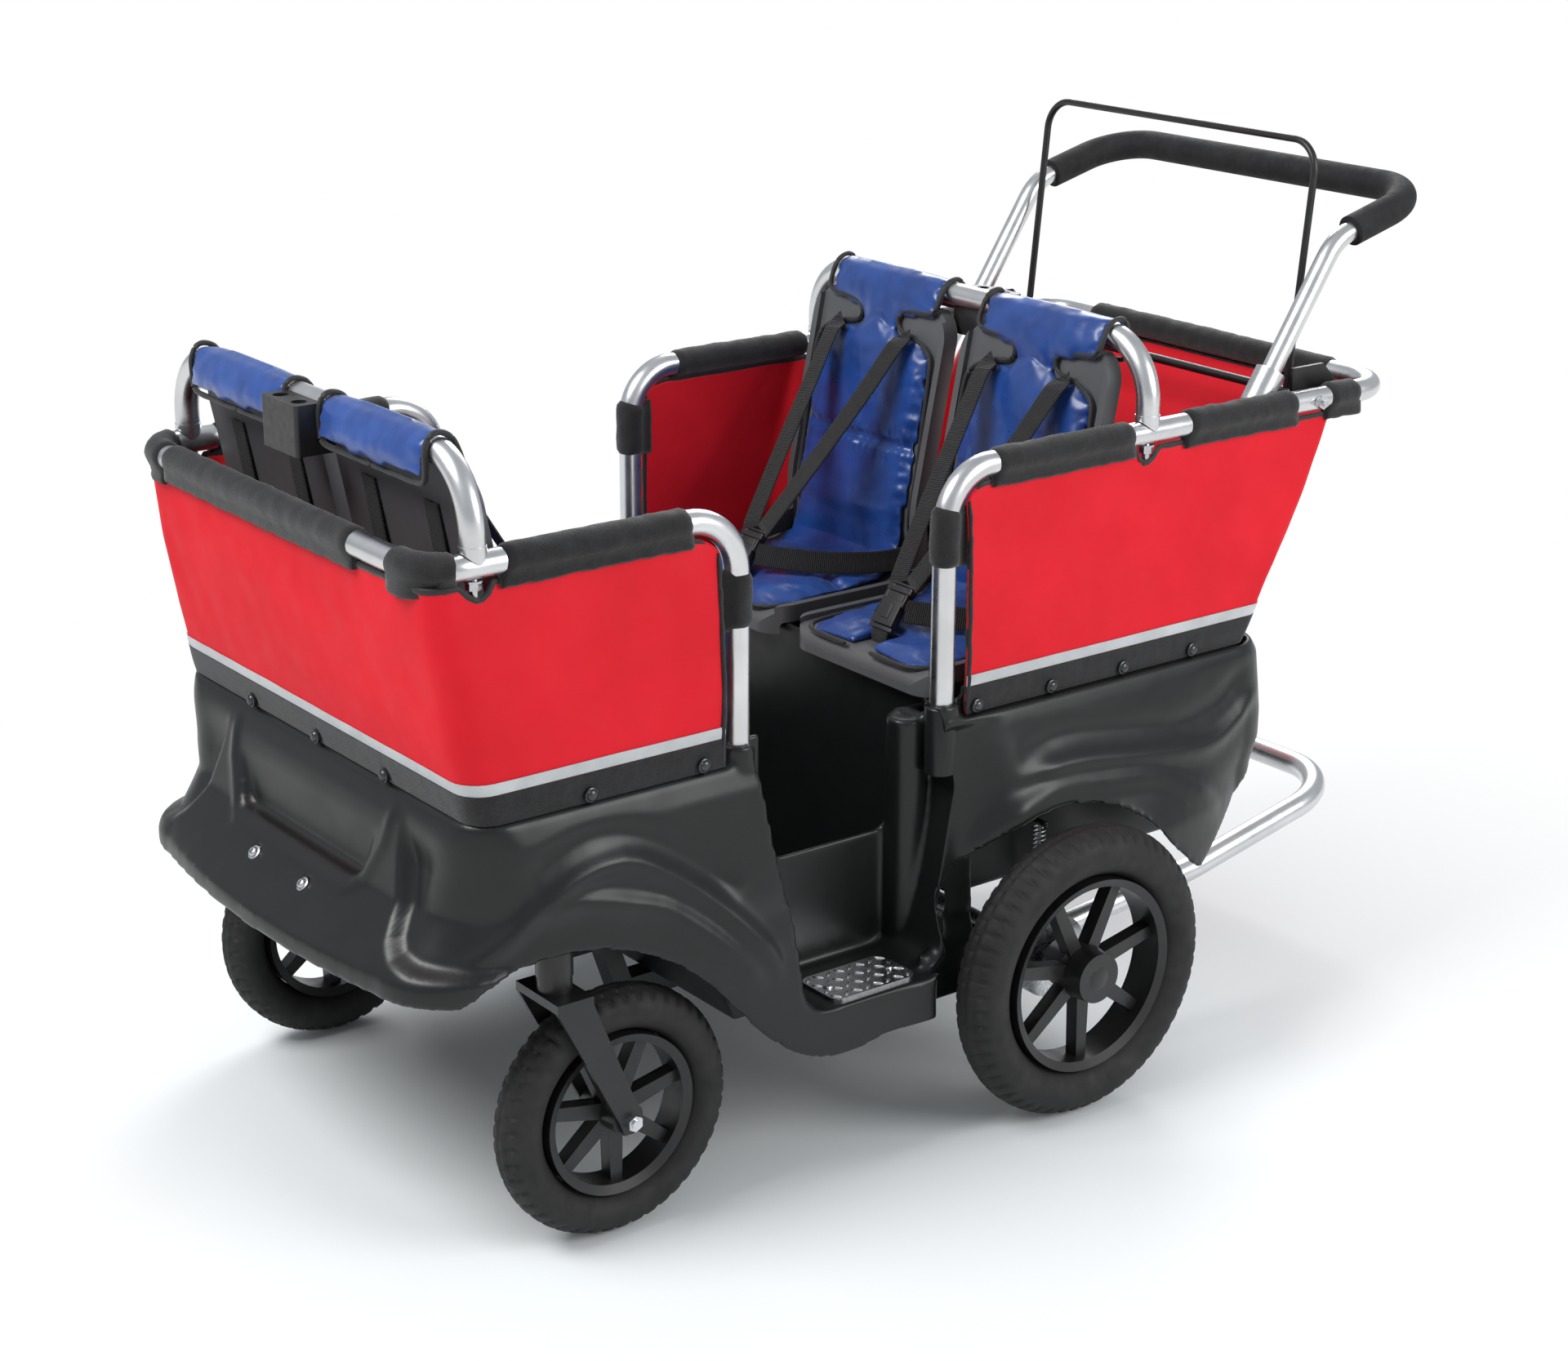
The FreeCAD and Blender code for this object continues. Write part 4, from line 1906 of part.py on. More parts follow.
def make_handle():
    up = leg_direction()
    low = along_leg(-d.socket_tube_length)
    collar_low = along_leg(-d.collar_length)
    socket_outer = d.socket_tube_diameter / 2
    socket_inner = socket_outer - d.socket_tube_wall
    pin_at = along_leg(-d.collar_length / 2)
    pin_hole = Part.makeCylinder(d.plunger_pin_diameter / 2 + d.fit_gap, d.collar_diameter,
                                 pin_at, plunger_axis())
    foot = Part.makeCylinder(d.foot_plate_width / 2, d.foot_plate_height,
                             Vector(low.x, low.y, d.rear_basin_floor))
    lower = Part.makeCylinder(socket_outer, d.socket_tube_length, low, up).fuse(foot)
    under = box_between((0, low.y - d.foot_plate_width, d.rear_basin_floor - d.overrun * 2),
                        (low.x + d.foot_plate_width, low.y + d.foot_plate_width, d.rear_basin_floor))
    bore = Part.makeCylinder(socket_inner, d.socket_tube_length, along_leg(-d.socket_tube_length
                                                                         + d.overrun), up)
    lower = lower.cut([under, bore, pin_hole])
    feature("handle_sockets", both_sides(lower))
    collar = Part.makeCylinder(d.collar_diameter / 2, d.collar_length + d.foot_plate_height,
                               collar_low, up)
    collar_bore = Part.makeCylinder(socket_outer + d.fit_gap, d.collar_length, collar_low, up)
    throat = Part.makeCylinder(d.handle_tube_diameter / 2 + d.fit_gap,
                               d.collar_length + d.overrun, collar_low, up)
    feature("handle_collars", both_sides(collar.cut([collar_bore, throat, pin_hole])))
    half = d.handle_half_span
    start = along_leg(-d.handle_inside_length)
    knee_z = (d.handle_bend_y - d.handle_collar_y) * up.z / up.y + d.handle_collar_height
    points = [start, Vector(half, d.handle_bend_y, knee_z),
              Vector(half, d.handle_grip_y, d.handle_grip_height),
              Vector(-half, d.handle_grip_y, d.handle_grip_height),
              Vector(-half, d.handle_bend_y, knee_z), Vector(-half, start.y, start.z)]
    bends = [d.handle_knee_round, d.handle_corner_round, d.handle_corner_round, d.handle_knee_round]
    outer = d.handle_tube_diameter / 2
    bar = tube(points, bends, outer, outer - d.handle_tube_wall)
    feature("handle_bar", bar)
    knee = points[1]
    run = (points[2] - knee).normalize()
    grip_start = knee + run * d.foam_start
    grip = [grip_start, points[2], points[3], Vector(-half, grip_start.y, grip_start.z)]
    foam = tube(grip, bends[1:3], d.foam_diameter / 2, outer + d.fit_gap)
    feature("handle_grip", foam)
    for side in SIDES:
        name = "lock_plunger_" + SIDE_NAMES[side]
        tip = along_leg(-d.collar_length / 2, side) + plunger_axis() * (outer + d.fit_gap)
        knob_at = along_leg(-d.collar_length / 2, side) + plunger_axis() * (d.collar_diameter / 2
                                                                         + d.fit_gap)
        reach = (knob_at - tip).Length + d.plunger_knob_height / 2
        pin = Part.makeCylinder(d.plunger_pin_diameter / 2, reach, tip, plunger_axis())
        knob = Part.makeCylinder(d.plunger_knob_diameter / 2, d.plunger_knob_height, knob_at,
                                 plunger_axis())
        feature(name, pin.fuse(knob))


# Brake bow

def make_bow():
    """The wire bow above the handle, welded to its pivot rod."""
    half = d.bow_half_span
    rise = d.bow_height - bow_pivot_height
    top_y = d.bow_pivot_y + rise * math.tan(math.radians(d.bow_lean_angle))
    points = [Vector(half, d.bow_pivot_y, bow_pivot_height), Vector(half, top_y, d.bow_height),
              Vector(-half, top_y, d.bow_height), Vector(-half, d.bow_pivot_y, bow_pivot_height)]
    wire = tube(points, [d.bow_bend, d.bow_bend], d.bow_diameter / 2)
    rod = Part.makeCylinder(d.bow_rod_diameter / 2, 2 * d.bow_rod_half,
                            Vector(-d.bow_rod_half, d.bow_pivot_y, bow_pivot_height), X_AXIS)
    feature("brake_bow", wire.fuse(rod))


def make_bow_brackets():
    """Plates inside the rails that carry the pivot rod."""
    plates = []
    for side in SIDES:
        name = "brake_bracket_" + SIDE_NAMES[side]
        body = new_body(name)
        front = d.bow_bracket_front_y
        rear = d.bow_bracket_rear_y
        drop = (d.bow_bracket_high - d.bow_bracket_low) / 2
        outline = ((front, d.bow_bracket_low + drop / 2), (front + drop / 2, d.bow_bracket_low),
                   (rear, d.bow_bracket_low), (rear, d.bow_bracket_high - drop),
                   (rear - drop, d.bow_bracket_high), (front, d.bow_bracket_high))
        side_view = outline_sketch(body, name + "_outline", "YZ_Plane", [outline])
        padded(body, side_view, d.bow_bracket_thickness)
        holes = outline_sketch(body, name + "_holes", "YZ_Plane", [],
                               [((d.bow_pivot_y, bow_pivot_height),
                                 d.bow_rod_diameter / 2 + d.fit_gap),
                                ((d.bracket_bolt_y, d.rail_height),
                                 d.bracket_bolt_diameter / 2 + d.fit_gap)])
        pocketed(body, holes, 4 * d.bow_bracket_thickness, True)
        low = d.bow_bracket_inner if side > 0 else -d.bow_bracket_inner - d.bow_bracket_thickness
        place(body, (low, 0, 0))
        plates.append(body)
    grouped("brake_brackets", plates)


def make_rail_bolts():
    """Bolts that hold the bow brackets to the rails, head inside and nut outside."""
    bolts = []
    for side in SIDES:
        name = "rail_bolt_" + SIDE_NAMES[side]
        inner = d.bow_bracket_inner
        outer = d.rail_half_span + tube_radius + d.fit_gap
        head_low = side * inner - (d.nut_height if side > 0 else 0)
        end = outer + d.nut_height + d.hoop_bolt_tail / 2
        shank_low = inner - d.nut_height if side > 0 else -end
        parts = [
            cylinder(name + "_shank", d.bracket_bolt_diameter / 2, end - inner + d.nut_height,
                     (shank_low, d.bracket_bolt_y, d.rail_height), (1, 0, 0)),
            hexagon(name + "_head", d.nut_diameter / 2, d.nut_height,
                    (head_low, d.bracket_bolt_y, d.rail_height), (1, 0, 0)),
            hexagon(name + "_nut", d.nut_diameter / 2, d.nut_height,
                    (side * outer - (0 if side > 0 else d.nut_height), d.bracket_bolt_y,
                     d.rail_height), (1, 0, 0)),
        ]
        bolts.append(fused(name, parts))
    grouped("rail_bolts", bolts)


make_rails()
make_hoop("front_hoop", d.front_hoop_y)
make_hoop("rear_hoop", d.rear_hoop_y)
make_saddles()
make_hoop_bolts()
make_sleeves()
make_canvas()
make_hems_and_tapes()
make_studs()
make_tub()
make_step_plates()
make_bumper_bolts()
make_seats()
make_pole_block("front_pole_socket", d.front_hoop_y, -1)
make_pole_block("rear_pole_socket", d.rear_hoop_y, 1)
make_chassis()
make_caster_mounts()
make_rear_axle()
make_bumper_bar()
for caster_side in SIDES:
    make_caster_fork(caster_side)
    make_front_axle(caster_side)
make_wheels()
make_backplates()
for lever_side in SIDES:
    make_brake_lever(lever_side)
make_springs()
make_handle()
make_bow()
make_bow_brackets()
make_rail_bolts()
doc.recompute()

# Every object is sound before anything is written.
for item in doc.Objects:
    if "Invalid" in item.State or "Error" in item.State:
        raise RuntimeError("failed object: " + item.Label)
for item in nodes:
    if item.Shape.isNull() or not item.Shape.isValid() or not item.Shape.Solids:
        raise RuntimeError("unsound shape: " + item.Label)

os.makedirs("parts", exist_ok=True)
for item in nodes:
    item.Shape.exportStep("parts/%s.step" % item.Label)
print("sub-parts", len(nodes))
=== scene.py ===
import json
import math

import bmesh
import bpy
import numpy as np
from mathutils import Matrix, Vector, noise
from mathutils.bvhtree import BVHTree


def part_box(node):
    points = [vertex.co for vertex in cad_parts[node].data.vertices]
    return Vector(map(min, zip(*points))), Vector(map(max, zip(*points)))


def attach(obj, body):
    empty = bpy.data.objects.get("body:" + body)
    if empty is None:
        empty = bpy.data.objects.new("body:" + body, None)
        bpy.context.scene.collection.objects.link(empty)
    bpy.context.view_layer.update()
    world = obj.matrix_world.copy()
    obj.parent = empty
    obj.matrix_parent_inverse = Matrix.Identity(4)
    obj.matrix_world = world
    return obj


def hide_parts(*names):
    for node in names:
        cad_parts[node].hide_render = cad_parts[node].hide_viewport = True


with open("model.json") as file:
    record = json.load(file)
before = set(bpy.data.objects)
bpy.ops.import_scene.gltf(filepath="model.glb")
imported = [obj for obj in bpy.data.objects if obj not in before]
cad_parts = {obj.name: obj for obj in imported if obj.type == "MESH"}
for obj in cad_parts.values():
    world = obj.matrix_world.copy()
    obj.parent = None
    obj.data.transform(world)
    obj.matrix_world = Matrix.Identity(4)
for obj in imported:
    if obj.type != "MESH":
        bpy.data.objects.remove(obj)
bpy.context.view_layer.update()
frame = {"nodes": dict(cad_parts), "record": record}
NODES = frame["nodes"]
NODE_SLOTS = {entry["node"]: entry["material_slot"] for entry in frame["record"]["subparts"]}
ROOT = "stroller_frame"
MM = 0.001
SIDES = (("left", 1), ("right", -1))
UP = Vector((0, 0, 1))


# ---------------------------------------------------------------- materials

DRIFT_RANGE = (0.3, 0.7)
STRAP_WIDTH = 25.0
STRAP_THICKNESS = 1.6


def add_node(tree, kind, inputs=(), **settings):
    """A shader node; each input, by name or index, gets a constant or the socket that feeds it."""
    node = tree.nodes.new("ShaderNode" + kind)
    for key, value in settings.items():
        setattr(node, key, value)
    for key, value in dict(inputs).items():
        if isinstance(value, bpy.types.NodeSocket):
            tree.links.new(value, node.inputs[key])
        else:
            node.inputs[key].default_value = value
    return node


def math_node(tree, operation, *values):
    return add_node(tree, "Math", enumerate(values), operation=operation).outputs[0]


def noise_node(tree, coords, scale, detail):
    inputs = {"Scale": scale, "Detail": detail, "Vector": coords}
    return add_node(tree, "TexNoise", inputs).outputs["Fac"]


def weave_height(tree, coords, pitch):
    """A plain weave on upright cloth: threads along Z and along the way round."""
    parts = add_node(tree, "SeparateXYZ", {0: coords}).outputs
    around = math_node(tree, "ADD", parts[0], parts[1])
    threads = [math_node(tree, "SINE", math_node(tree, "MULTIPLY", way, 2 * math.pi / pitch))
               for way in (around, parts[2])]
    return math_node(tree, "MULTIPLY", *threads)


def ribs_height(tree, pitch):
    """Ribs across a strap that sag once over its width, from its own UV map in metres."""
    uv = add_node(tree, "UVMap", uv_map="UVMap").outputs[0]
    parts = add_node(tree, "SeparateXYZ", {0: uv}).outputs
    along = math_node(tree, "MULTIPLY", parts[0], 2 * math.pi / pitch)
    side = math_node(tree, "MULTIPLY", parts[1], 2 * math.pi / (STRAP_WIDTH * MM))
    return math_node(tree, "SINE", math_node(tree, "ADD", along, math_node(tree, "SINE", side)))


def bump_height(tree, coords, kind, size):
    if kind == "weave":
        return weave_height(tree, coords, size)
    if kind == "ribs":
        return ribs_height(tree, size)
    if kind == "cells":
        cells = add_node(tree, "TexVoronoi", {"Scale": 1 / size, "Vector": coords})
        return cells.outputs["Distance"]
    return noise_node(tree, coords, 1 / size, 0.0 if kind == "soft" else 4.0)


def new_material(name):
    made = bpy.data.materials.new(name)
    made.use_nodes = True
    made.node_tree.nodes.clear()
    return made, made.node_tree


def finish_of(name, dark, light, rough, patch, metallic=0.0, sheen=0.0, specular=0.5, bumps=()):
    """A principled finish: colour and roughness drift between two values, and bumps on top.

    bumps are (kind, size in metres, strength, depth in metres)."""
    made, tree = new_material(name)
    coords = add_node(tree, "TexCoord").outputs["Object"]
    ramp = add_node(tree, "ValToRGB", {0: noise_node(tree, coords, patch, 4.0)})
    for element, position, tint in zip(ramp.color_ramp.elements, DRIFT_RANGE, (dark, light)):
        element.position = position
        element.color = (*tint, 1)
    spread = add_node(tree, "MapRange", {
        "From Min": DRIFT_RANGE[0], "From Max": DRIFT_RANGE[1], "To Min": rough[0],
        "To Max": rough[1], "Value": noise_node(tree, coords, patch * 3, 2.0)})
    normal = {}
    for kind, size, strength, depth in bumps:
        height = bump_height(tree, coords, kind, size)
        bump = add_node(tree, "Bump", {"Strength": strength, "Distance": depth, "Height": height,
                                       **normal})
        normal = {"Normal": bump.outputs[0]}
    shader = add_node(tree, "BsdfPrincipled", {
        "Base Color": ramp.outputs[0], "Roughness": spread.outputs[0], "Metallic": metallic,
        "Specular IOR Level": specular, "Sheen Weight": sheen, **normal})
    add_node(tree, "OutputMaterial", {0: shader.outputs[0]})
    return made


FINISH = {
    "tub_plastic": finish_of(
        "moulded_black", (0.0055, 0.0064, 0.0066), (0.0080, 0.0091, 0.0094), (0.32, 0.39), 9.0,
        specular=0.40, bumps=[("noise", 0.0016, 0.10, 0.0004), ("noise", 0.06, 0.10, 0.003)]),
    "seat_plastic": finish_of(
        "seat_grey", (0.078, 0.080, 0.084), (0.096, 0.098, 0.102), (0.42, 0.52), 14.0,
        bumps=[("noise", 0.0014, 0.12, 0.0004)]),
    "fitting_plastic": finish_of(
        "fitting_black", (0.011, 0.011, 0.012), (0.017, 0.017, 0.018), (0.34, 0.46), 40.0,
        bumps=[("noise", 0.001, 0.10, 0.0003)]),
    "pad_blue": finish_of(
        "nylon_blue", (0.004, 0.036, 0.185), (0.009, 0.060, 0.280), (0.27, 0.35), 30.0,
        sheen=0.10, specular=0.6,
        bumps=[("soft", 0.016, 0.35, 0.004), ("weave", 0.0009, 0.06, 0.0002)]),
    "canvas_red": finish_of(
        "canvas_red", (0.62, 0.0065, 0.016), (0.70, 0.0095, 0.022), (0.58, 0.68), 12.0,
        specular=0.2, bumps=[("weave", 0.0011, 0.10, 0.0002), ("noise", 0.05, 0.12, 0.004)]),
    "trim_fabric": finish_of(
        "trim_black", (0.0065, 0.0065, 0.007), (0.013, 0.013, 0.014), (0.78, 0.9), 60.0,
        sheen=0.25, specular=0.3,
        bumps=[("weave", 0.0022, 0.5, 0.0006), ("noise", 0.02, 0.3, 0.003)]),
    "webbing": finish_of(
        "webbing_black", (0.006, 0.006, 0.0065), (0.012, 0.012, 0.013), (0.62, 0.75), 80.0,
        sheen=0.15, specular=0.35, bumps=[("ribs", 0.0022, 0.8, 0.0008)]),
    "reflective_tape": finish_of(
        "tape_grey", (0.40, 0.42, 0.43), (0.50, 0.52, 0.53), (0.42, 0.5), 30.0,
        bumps=[("weave", 0.0012, 0.12, 0.0002)]),
    "black_steel": finish_of(
        "powder_black", (0.008, 0.008, 0.0085), (0.012, 0.012, 0.0125), (0.32, 0.42), 30.0,
        bumps=[("noise", 0.0012, 0.14, 0.0003)]),
    "silver_tube": finish_of(
        "anodised", (0.62, 0.63, 0.64), (0.74, 0.75, 0.76), (0.26, 0.34), 16.0, metallic=1.0,
        bumps=[("noise", 0.003, 0.06, 0.0003), ("noise", 0.02, 0.08, 0.001)]),
    "zinc_steel": finish_of(
        "zinc", (0.50, 0.52, 0.54), (0.70, 0.71, 0.73), (0.22, 0.36), 90.0, metallic=1.0,
        bumps=[("noise", 0.002, 0.1, 0.0003)]),
    "chequer_plate": finish_of(
        "rolled_aluminium", (0.66, 0.67, 0.68), (0.82, 0.83, 0.84), (0.20, 0.32), 60.0,
        metallic=1.0, bumps=[("noise", 0.002, 0.12, 0.0003)]),
    "foam_rubber": finish_of(
        "foam_black", (0.011, 0.011, 0.012), (0.020, 0.020, 0.021), (0.72, 0.85), 40.0,
        specular=0.35, bumps=[("cells", 0.0012, 0.35, 0.0005), ("noise", 0.012, 0.15, 0.001)]),
    "tyre_rubber": finish_of(
        "tyre_black", (0.009, 0.009, 0.0095), (0.018, 0.0175, 0.017), (0.62, 0.76), 26.0,
        specular=0.4, bumps=[("noise", 0.0015, 0.14, 0.0004)]),
    "rim_plastic": finish_of(
        "rim_black", (0.007, 0.007, 0.0075), (0.012, 0.012, 0.0125), (0.34, 0.44), 30.0,
        bumps=[("noise", 0.0012, 0.08, 0.0003)]),
}
PLATED = finish_of(
    "spring_steel", (0.45, 0.46, 0.47), (0.62, 0.63, 0.64), (0.25, 0.35), 60.0, metallic=1.0)
STUD_METAL = finish_of(
    "stud_gunmetal", (0.055, 0.056, 0.060), (0.085, 0.087, 0.090), (0.24, 0.34), 60.0,
    metallic=0.85, bumps=[("noise", 0.003, 0.08, 0.0003)])
PIPING = finish_of(
    "piping_black", (0.0055, 0.0055, 0.006), (0.010, 0.010, 0.011), (0.55, 0.7), 90.0, sheen=0.2,
    bumps=[("noise", 0.0012, 0.4, 0.0004)])


def finish_nodes():
    """Gives every carried-over node its finish."""
    for name, obj in NODES.items():
        obj.data.materials.clear()
        obj.data.materials.append(PLATED if name == "brake_springs" else FINISH[NODE_SLOTS[name]])


# ---------------------------------------------------------------- mesh helpers

def linked(name, data):
    """A new object in the scene."""
    obj = bpy.data.objects.new(name, data)
    bpy.context.scene.collection.objects.link(obj)
    return obj


def copy_of(node, name):
    return linked(name, NODES[node].data.copy())


def dress(obj, slot, body=ROOT, material=None, replaces=()):
    obj.data.materials.clear()
    obj.data.materials.append(material or FINISH[slot])
    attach(obj, body)
    if replaces:
        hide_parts(*replaces)
    return obj


def outward_faces(obj):
    bm = bmesh.new()
    bm.from_mesh(obj.data)
    bmesh.ops.recalc_face_normals(bm, faces=bm.faces)
    bm.to_mesh(obj.data)
    bm.free()


def shade_smooth(obj):
    obj.data.polygons.foreach_set("use_smooth", [True] * len(obj.data.polygons))


def smooth_by_angle(obj, degrees):
    """Smooth shading, apart from edges whose faces meet at more than an angle."""
    shade_smooth(obj)
    bm = bmesh.new()
    bm.from_mesh(obj.data)
    limit = math.radians(degrees)
    for edge in bm.edges:
        edge.smooth = len(edge.link_faces) == 2 and edge.calc_face_angle(0) < limit
    bm.to_mesh(obj.data)
    bm.free()


def add_piece(name, verts, faces, slot, body=ROOT, material=None, smooth=True, replaces=(),
              uvs=None):
    mesh = bpy.data.meshes.new(name)
    mesh.from_pydata([tuple(v) for v in verts], [], faces)
    if uvs is not None:
        layer = mesh.uv_layers.new(name="UVMap")
        for loop in mesh.loops:
            layer.data[loop.index].uv = uvs[loop.vertex_index]
    obj = linked(name, mesh)
    outward_faces(obj)
    if smooth:
        shade_smooth(obj)
    return dress(obj, slot, body, material, replaces)


def modified(obj, kind, **settings):
    mod = obj.modifiers.new(kind.lower(), kind)
    for key, value in settings.items():
        setattr(mod, key, value)
    return mod


def apply_modifiers(obj):
    """Bakes the modifier stack into the mesh."""
    graph = bpy.context.evaluated_depsgraph_get()
    made = bpy.data.meshes.new_from_object(obj.evaluated_get(graph))
    old = obj.data
    obj.modifiers.clear()
    obj.data = made
    bpy.data.meshes.remove(old)


def vertex_array(obj, key="co"):
    values = np.zeros(len(obj.data.vertices) * 3, np.float32)
    obj.data.vertices.foreach_get(key, values)
    return values.reshape(-1, 3).astype(float)


def set_points(obj, co):
    obj.data.vertices.foreach_set("co", np.asarray(co, np.float32).ravel())
    obj.data.update()


def place(obj, matrix):
    obj.data.transform(matrix)
    obj.data.update()


def shifted(faces, base):
    return [tuple(base + i for i in face) for face in faces]


def grid_faces(rows, columns, wrap_rows=False, wrap_columns=False):
    faces = []
    for i in range(rows if wrap_rows else rows - 1):
        row, following = i * columns, (i + 1) % rows * columns
        for j in range(columns if wrap_columns else columns - 1):
            beside = (j + 1) % columns
            faces.append((row + j, row + beside, following + beside, following + j))
    return faces


def tube_faces(rows, steps):
    """Faces of a row of rings, closed at both ends."""
    last = (rows - 1) * steps
    ends = [tuple(range(steps))[::-1], tuple(last + k for k in range(steps))]
    return grid_faces(rows, steps, wrap_columns=True) + ends


def turned(at, axes, profile, steps):
    """Rings of (radius, rise) in mm round the third of three axes."""
    u, v, w = axes
    verts = []
    for radius, rise in profile:
        for k in range(steps):
            angle = 2 * math.pi * k / steps
            off = u * (radius * math.cos(angle)) + v * (radius * math.sin(angle)) + w * rise
            verts.append(at + off * MM)
    return verts


def add_head(verts, faces, at, axis, profile, steps=20):
    """A turned head about an axis, closed at both ends."""
    turn = axis.to_track_quat("Z", "Y").to_matrix()
    faces += shifted(tube_faces(len(profile), steps), len(verts))
    verts += turned(at, [turn.col[i].copy() for i in range(3)], profile, steps)


def smooth_ramp(values, low, high):
    t = np.clip((values - low) / (high - low), 0, 1)
    return t * t * (3 - 2 * t)


def noise_at(points, shift):
    """Smooth noise of each point, from -1 to 1."""
    return np.array([noise.noise(Vector(p) + shift) for p in points])


def slerp(a, b, share):
    angle = a.angle(b)
    return (a * math.sin((1 - share) * angle) + b * math.sin(share * angle)) / math.sin(angle)


def corner_arc(before, at, after, radius):
    """Start, end and centre of the arc that rounds a corner, and the corner's angle."""
    a = (before - at).normalized()
    b = (after - at).normalized()
    angle = a.angle(b)
    reach = radius / math.tan(angle / 2)
    centre = at + (a + b).normalized() * (radius / math.sin(angle / 2))
    return at + a * reach, at + b * reach, centre, angle


def spaced(a, b, step):
    """Points after a up to b, about a step apart."""
    run = b - a
    if run.length < step / 10:
        return []
    count = max(1, round(run.length / step))
    return [a + run * (k / count) for k in range(1, count + 1)]


def rounded_path(corners, radius, step):
    """Points along straight runs joined by arcs, about a step apart."""
    corners = [Vector(c) for c in corners]
    points = [corners[0]]
    for before, at, after in zip(corners, corners[1:], corners[2:]):
        start, end, centre, angle = corner_arc(before, at, after, radius)
        points += spaced(points[-1], start, step)
        count = max(2, int(radius * (math.pi - angle) / step))
        points += [centre + slerp(start - centre, end - centre, k / count)
                   for k in range(1, count)]
        points.append(end)
    return points + spaced(points[-1], corners[-1], step)


def smooth_line(points, step):
    """A Catmull-Rom line through points, about a step apart."""
    out = []
    padded = [points[0], *points, points[-1]]
    for p0, p1, p2, p3 in zip(padded, padded[1:], padded[2:], padded[3:]):
        parts = max(1, round((p2 - p1).length / step))
        for k in range(parts):
            t = k / parts
            out.append(0.5 * ((2 * p1) + (p2 - p0) * t + (2 * p0 - 5 * p1 + 4 * p2 - p3) * t * t
                              + (3 * p1 - p0 - 3 * p2 + p3) * t ** 3))
    out.append(points[-1])
    return out


def eased(points, passes):
    """The same line with its sharp bends rounded."""
    for _ in range(passes):
        inner = [(a + 2 * b + c) / 4 for a, b, c in zip(points, points[1:], points[2:])]
        points = [points[0]] + inner + [points[-1]]
    return points


# ---------------------------------------------------------------- camera, floor and light

CAMERA_ANGLES = (52.82, 18.93, 0.22)  # azimuth, elevation and roll in degrees
CAMERA_TARGET = Vector((6.98, -37.64, 403.65)) * MM
CAMERA_DISTANCE = 3.1536
# name, then metres to the camera's right, toward the camera and up, disc size and watts
LIGHTS = (("key", -2.0, 1.2, 3.0, 1.7, 94.0),
          ("fill", 2.8, 1.6, 1.9, 2.0, 62.0),
          ("rim", 0.6, -3.0, 2.4, 2.0, 70.0))
LIGHT_AIM = Vector((0, 0, 0.4))
FLOOR_RINGS = (0.8, 1.6, 3.0, 9.0)
FLOOR_FADE = (0.55, 1.5)


def camera_axes():
    azimuth, elevation, roll = (math.radians(v) for v in CAMERA_ANGLES)
    back = Vector((math.sin(azimuth) * math.cos(elevation),
                   -math.cos(azimuth) * math.cos(elevation), math.sin(elevation)))
    right = (-back).cross(UP).normalized()
    up = right.cross(-back)
    right, up = (right * math.cos(roll) + up * math.sin(roll),
                 up * math.cos(roll) - right * math.sin(roll))
    return right, up, back


def make_camera():
    right, up, back = camera_axes()
    data = bpy.data.cameras.new("camera")
    data.sensor_fit = "HORIZONTAL"
    data.sensor_width = 36.0
    data.lens = 66.64
    obj = linked("camera", data)
    obj.matrix_world = Matrix((right, up, back)).transposed().to_4x4()
    obj.location = CAMERA_TARGET + back * CAMERA_DISTANCE
    bpy.context.scene.camera = obj


def make_light():
    right = camera_axes()[0]
    ahead = UP.cross(right).normalized()
    for name, side, toward, height, size, power in LIGHTS:
        data = bpy.data.lights.new(name, "AREA")
        data.shape = "DISK"
        data.size = size
        data.energy = power
        obj = linked(name, data)
        obj.location = right * side - ahead * toward + UP * height
        obj.rotation_euler = (LIGHT_AIM - obj.location).to_track_quat("-Z", "Y").to_euler()


def make_world():
    """White to the eye, and a softer, cooler light on the object."""
    world = bpy.data.worlds.new("studio")
    world.use_nodes = True
    bpy.context.scene.world = world
    tree = world.node_tree
    tree.nodes.clear()
    seen = add_node(tree, "Background", {"Color": (1, 1, 1, 1), "Strength": 1.0})
    lighting = add_node(tree, "Background", {"Color": (0.93, 0.96, 1.0, 1), "Strength": 0.52})
    path = add_node(tree, "LightPath").outputs
    rays = math_node(tree, "MAXIMUM", path["Is Camera Ray"], path["Is Transmission Ray"])
    mix = add_node(tree, "MixShader", {0: rays, 1: lighting.outputs[0], 2: seen.outputs[0]})
    add_node(tree, "OutputWorld", {"Surface": mix.outputs[0]})


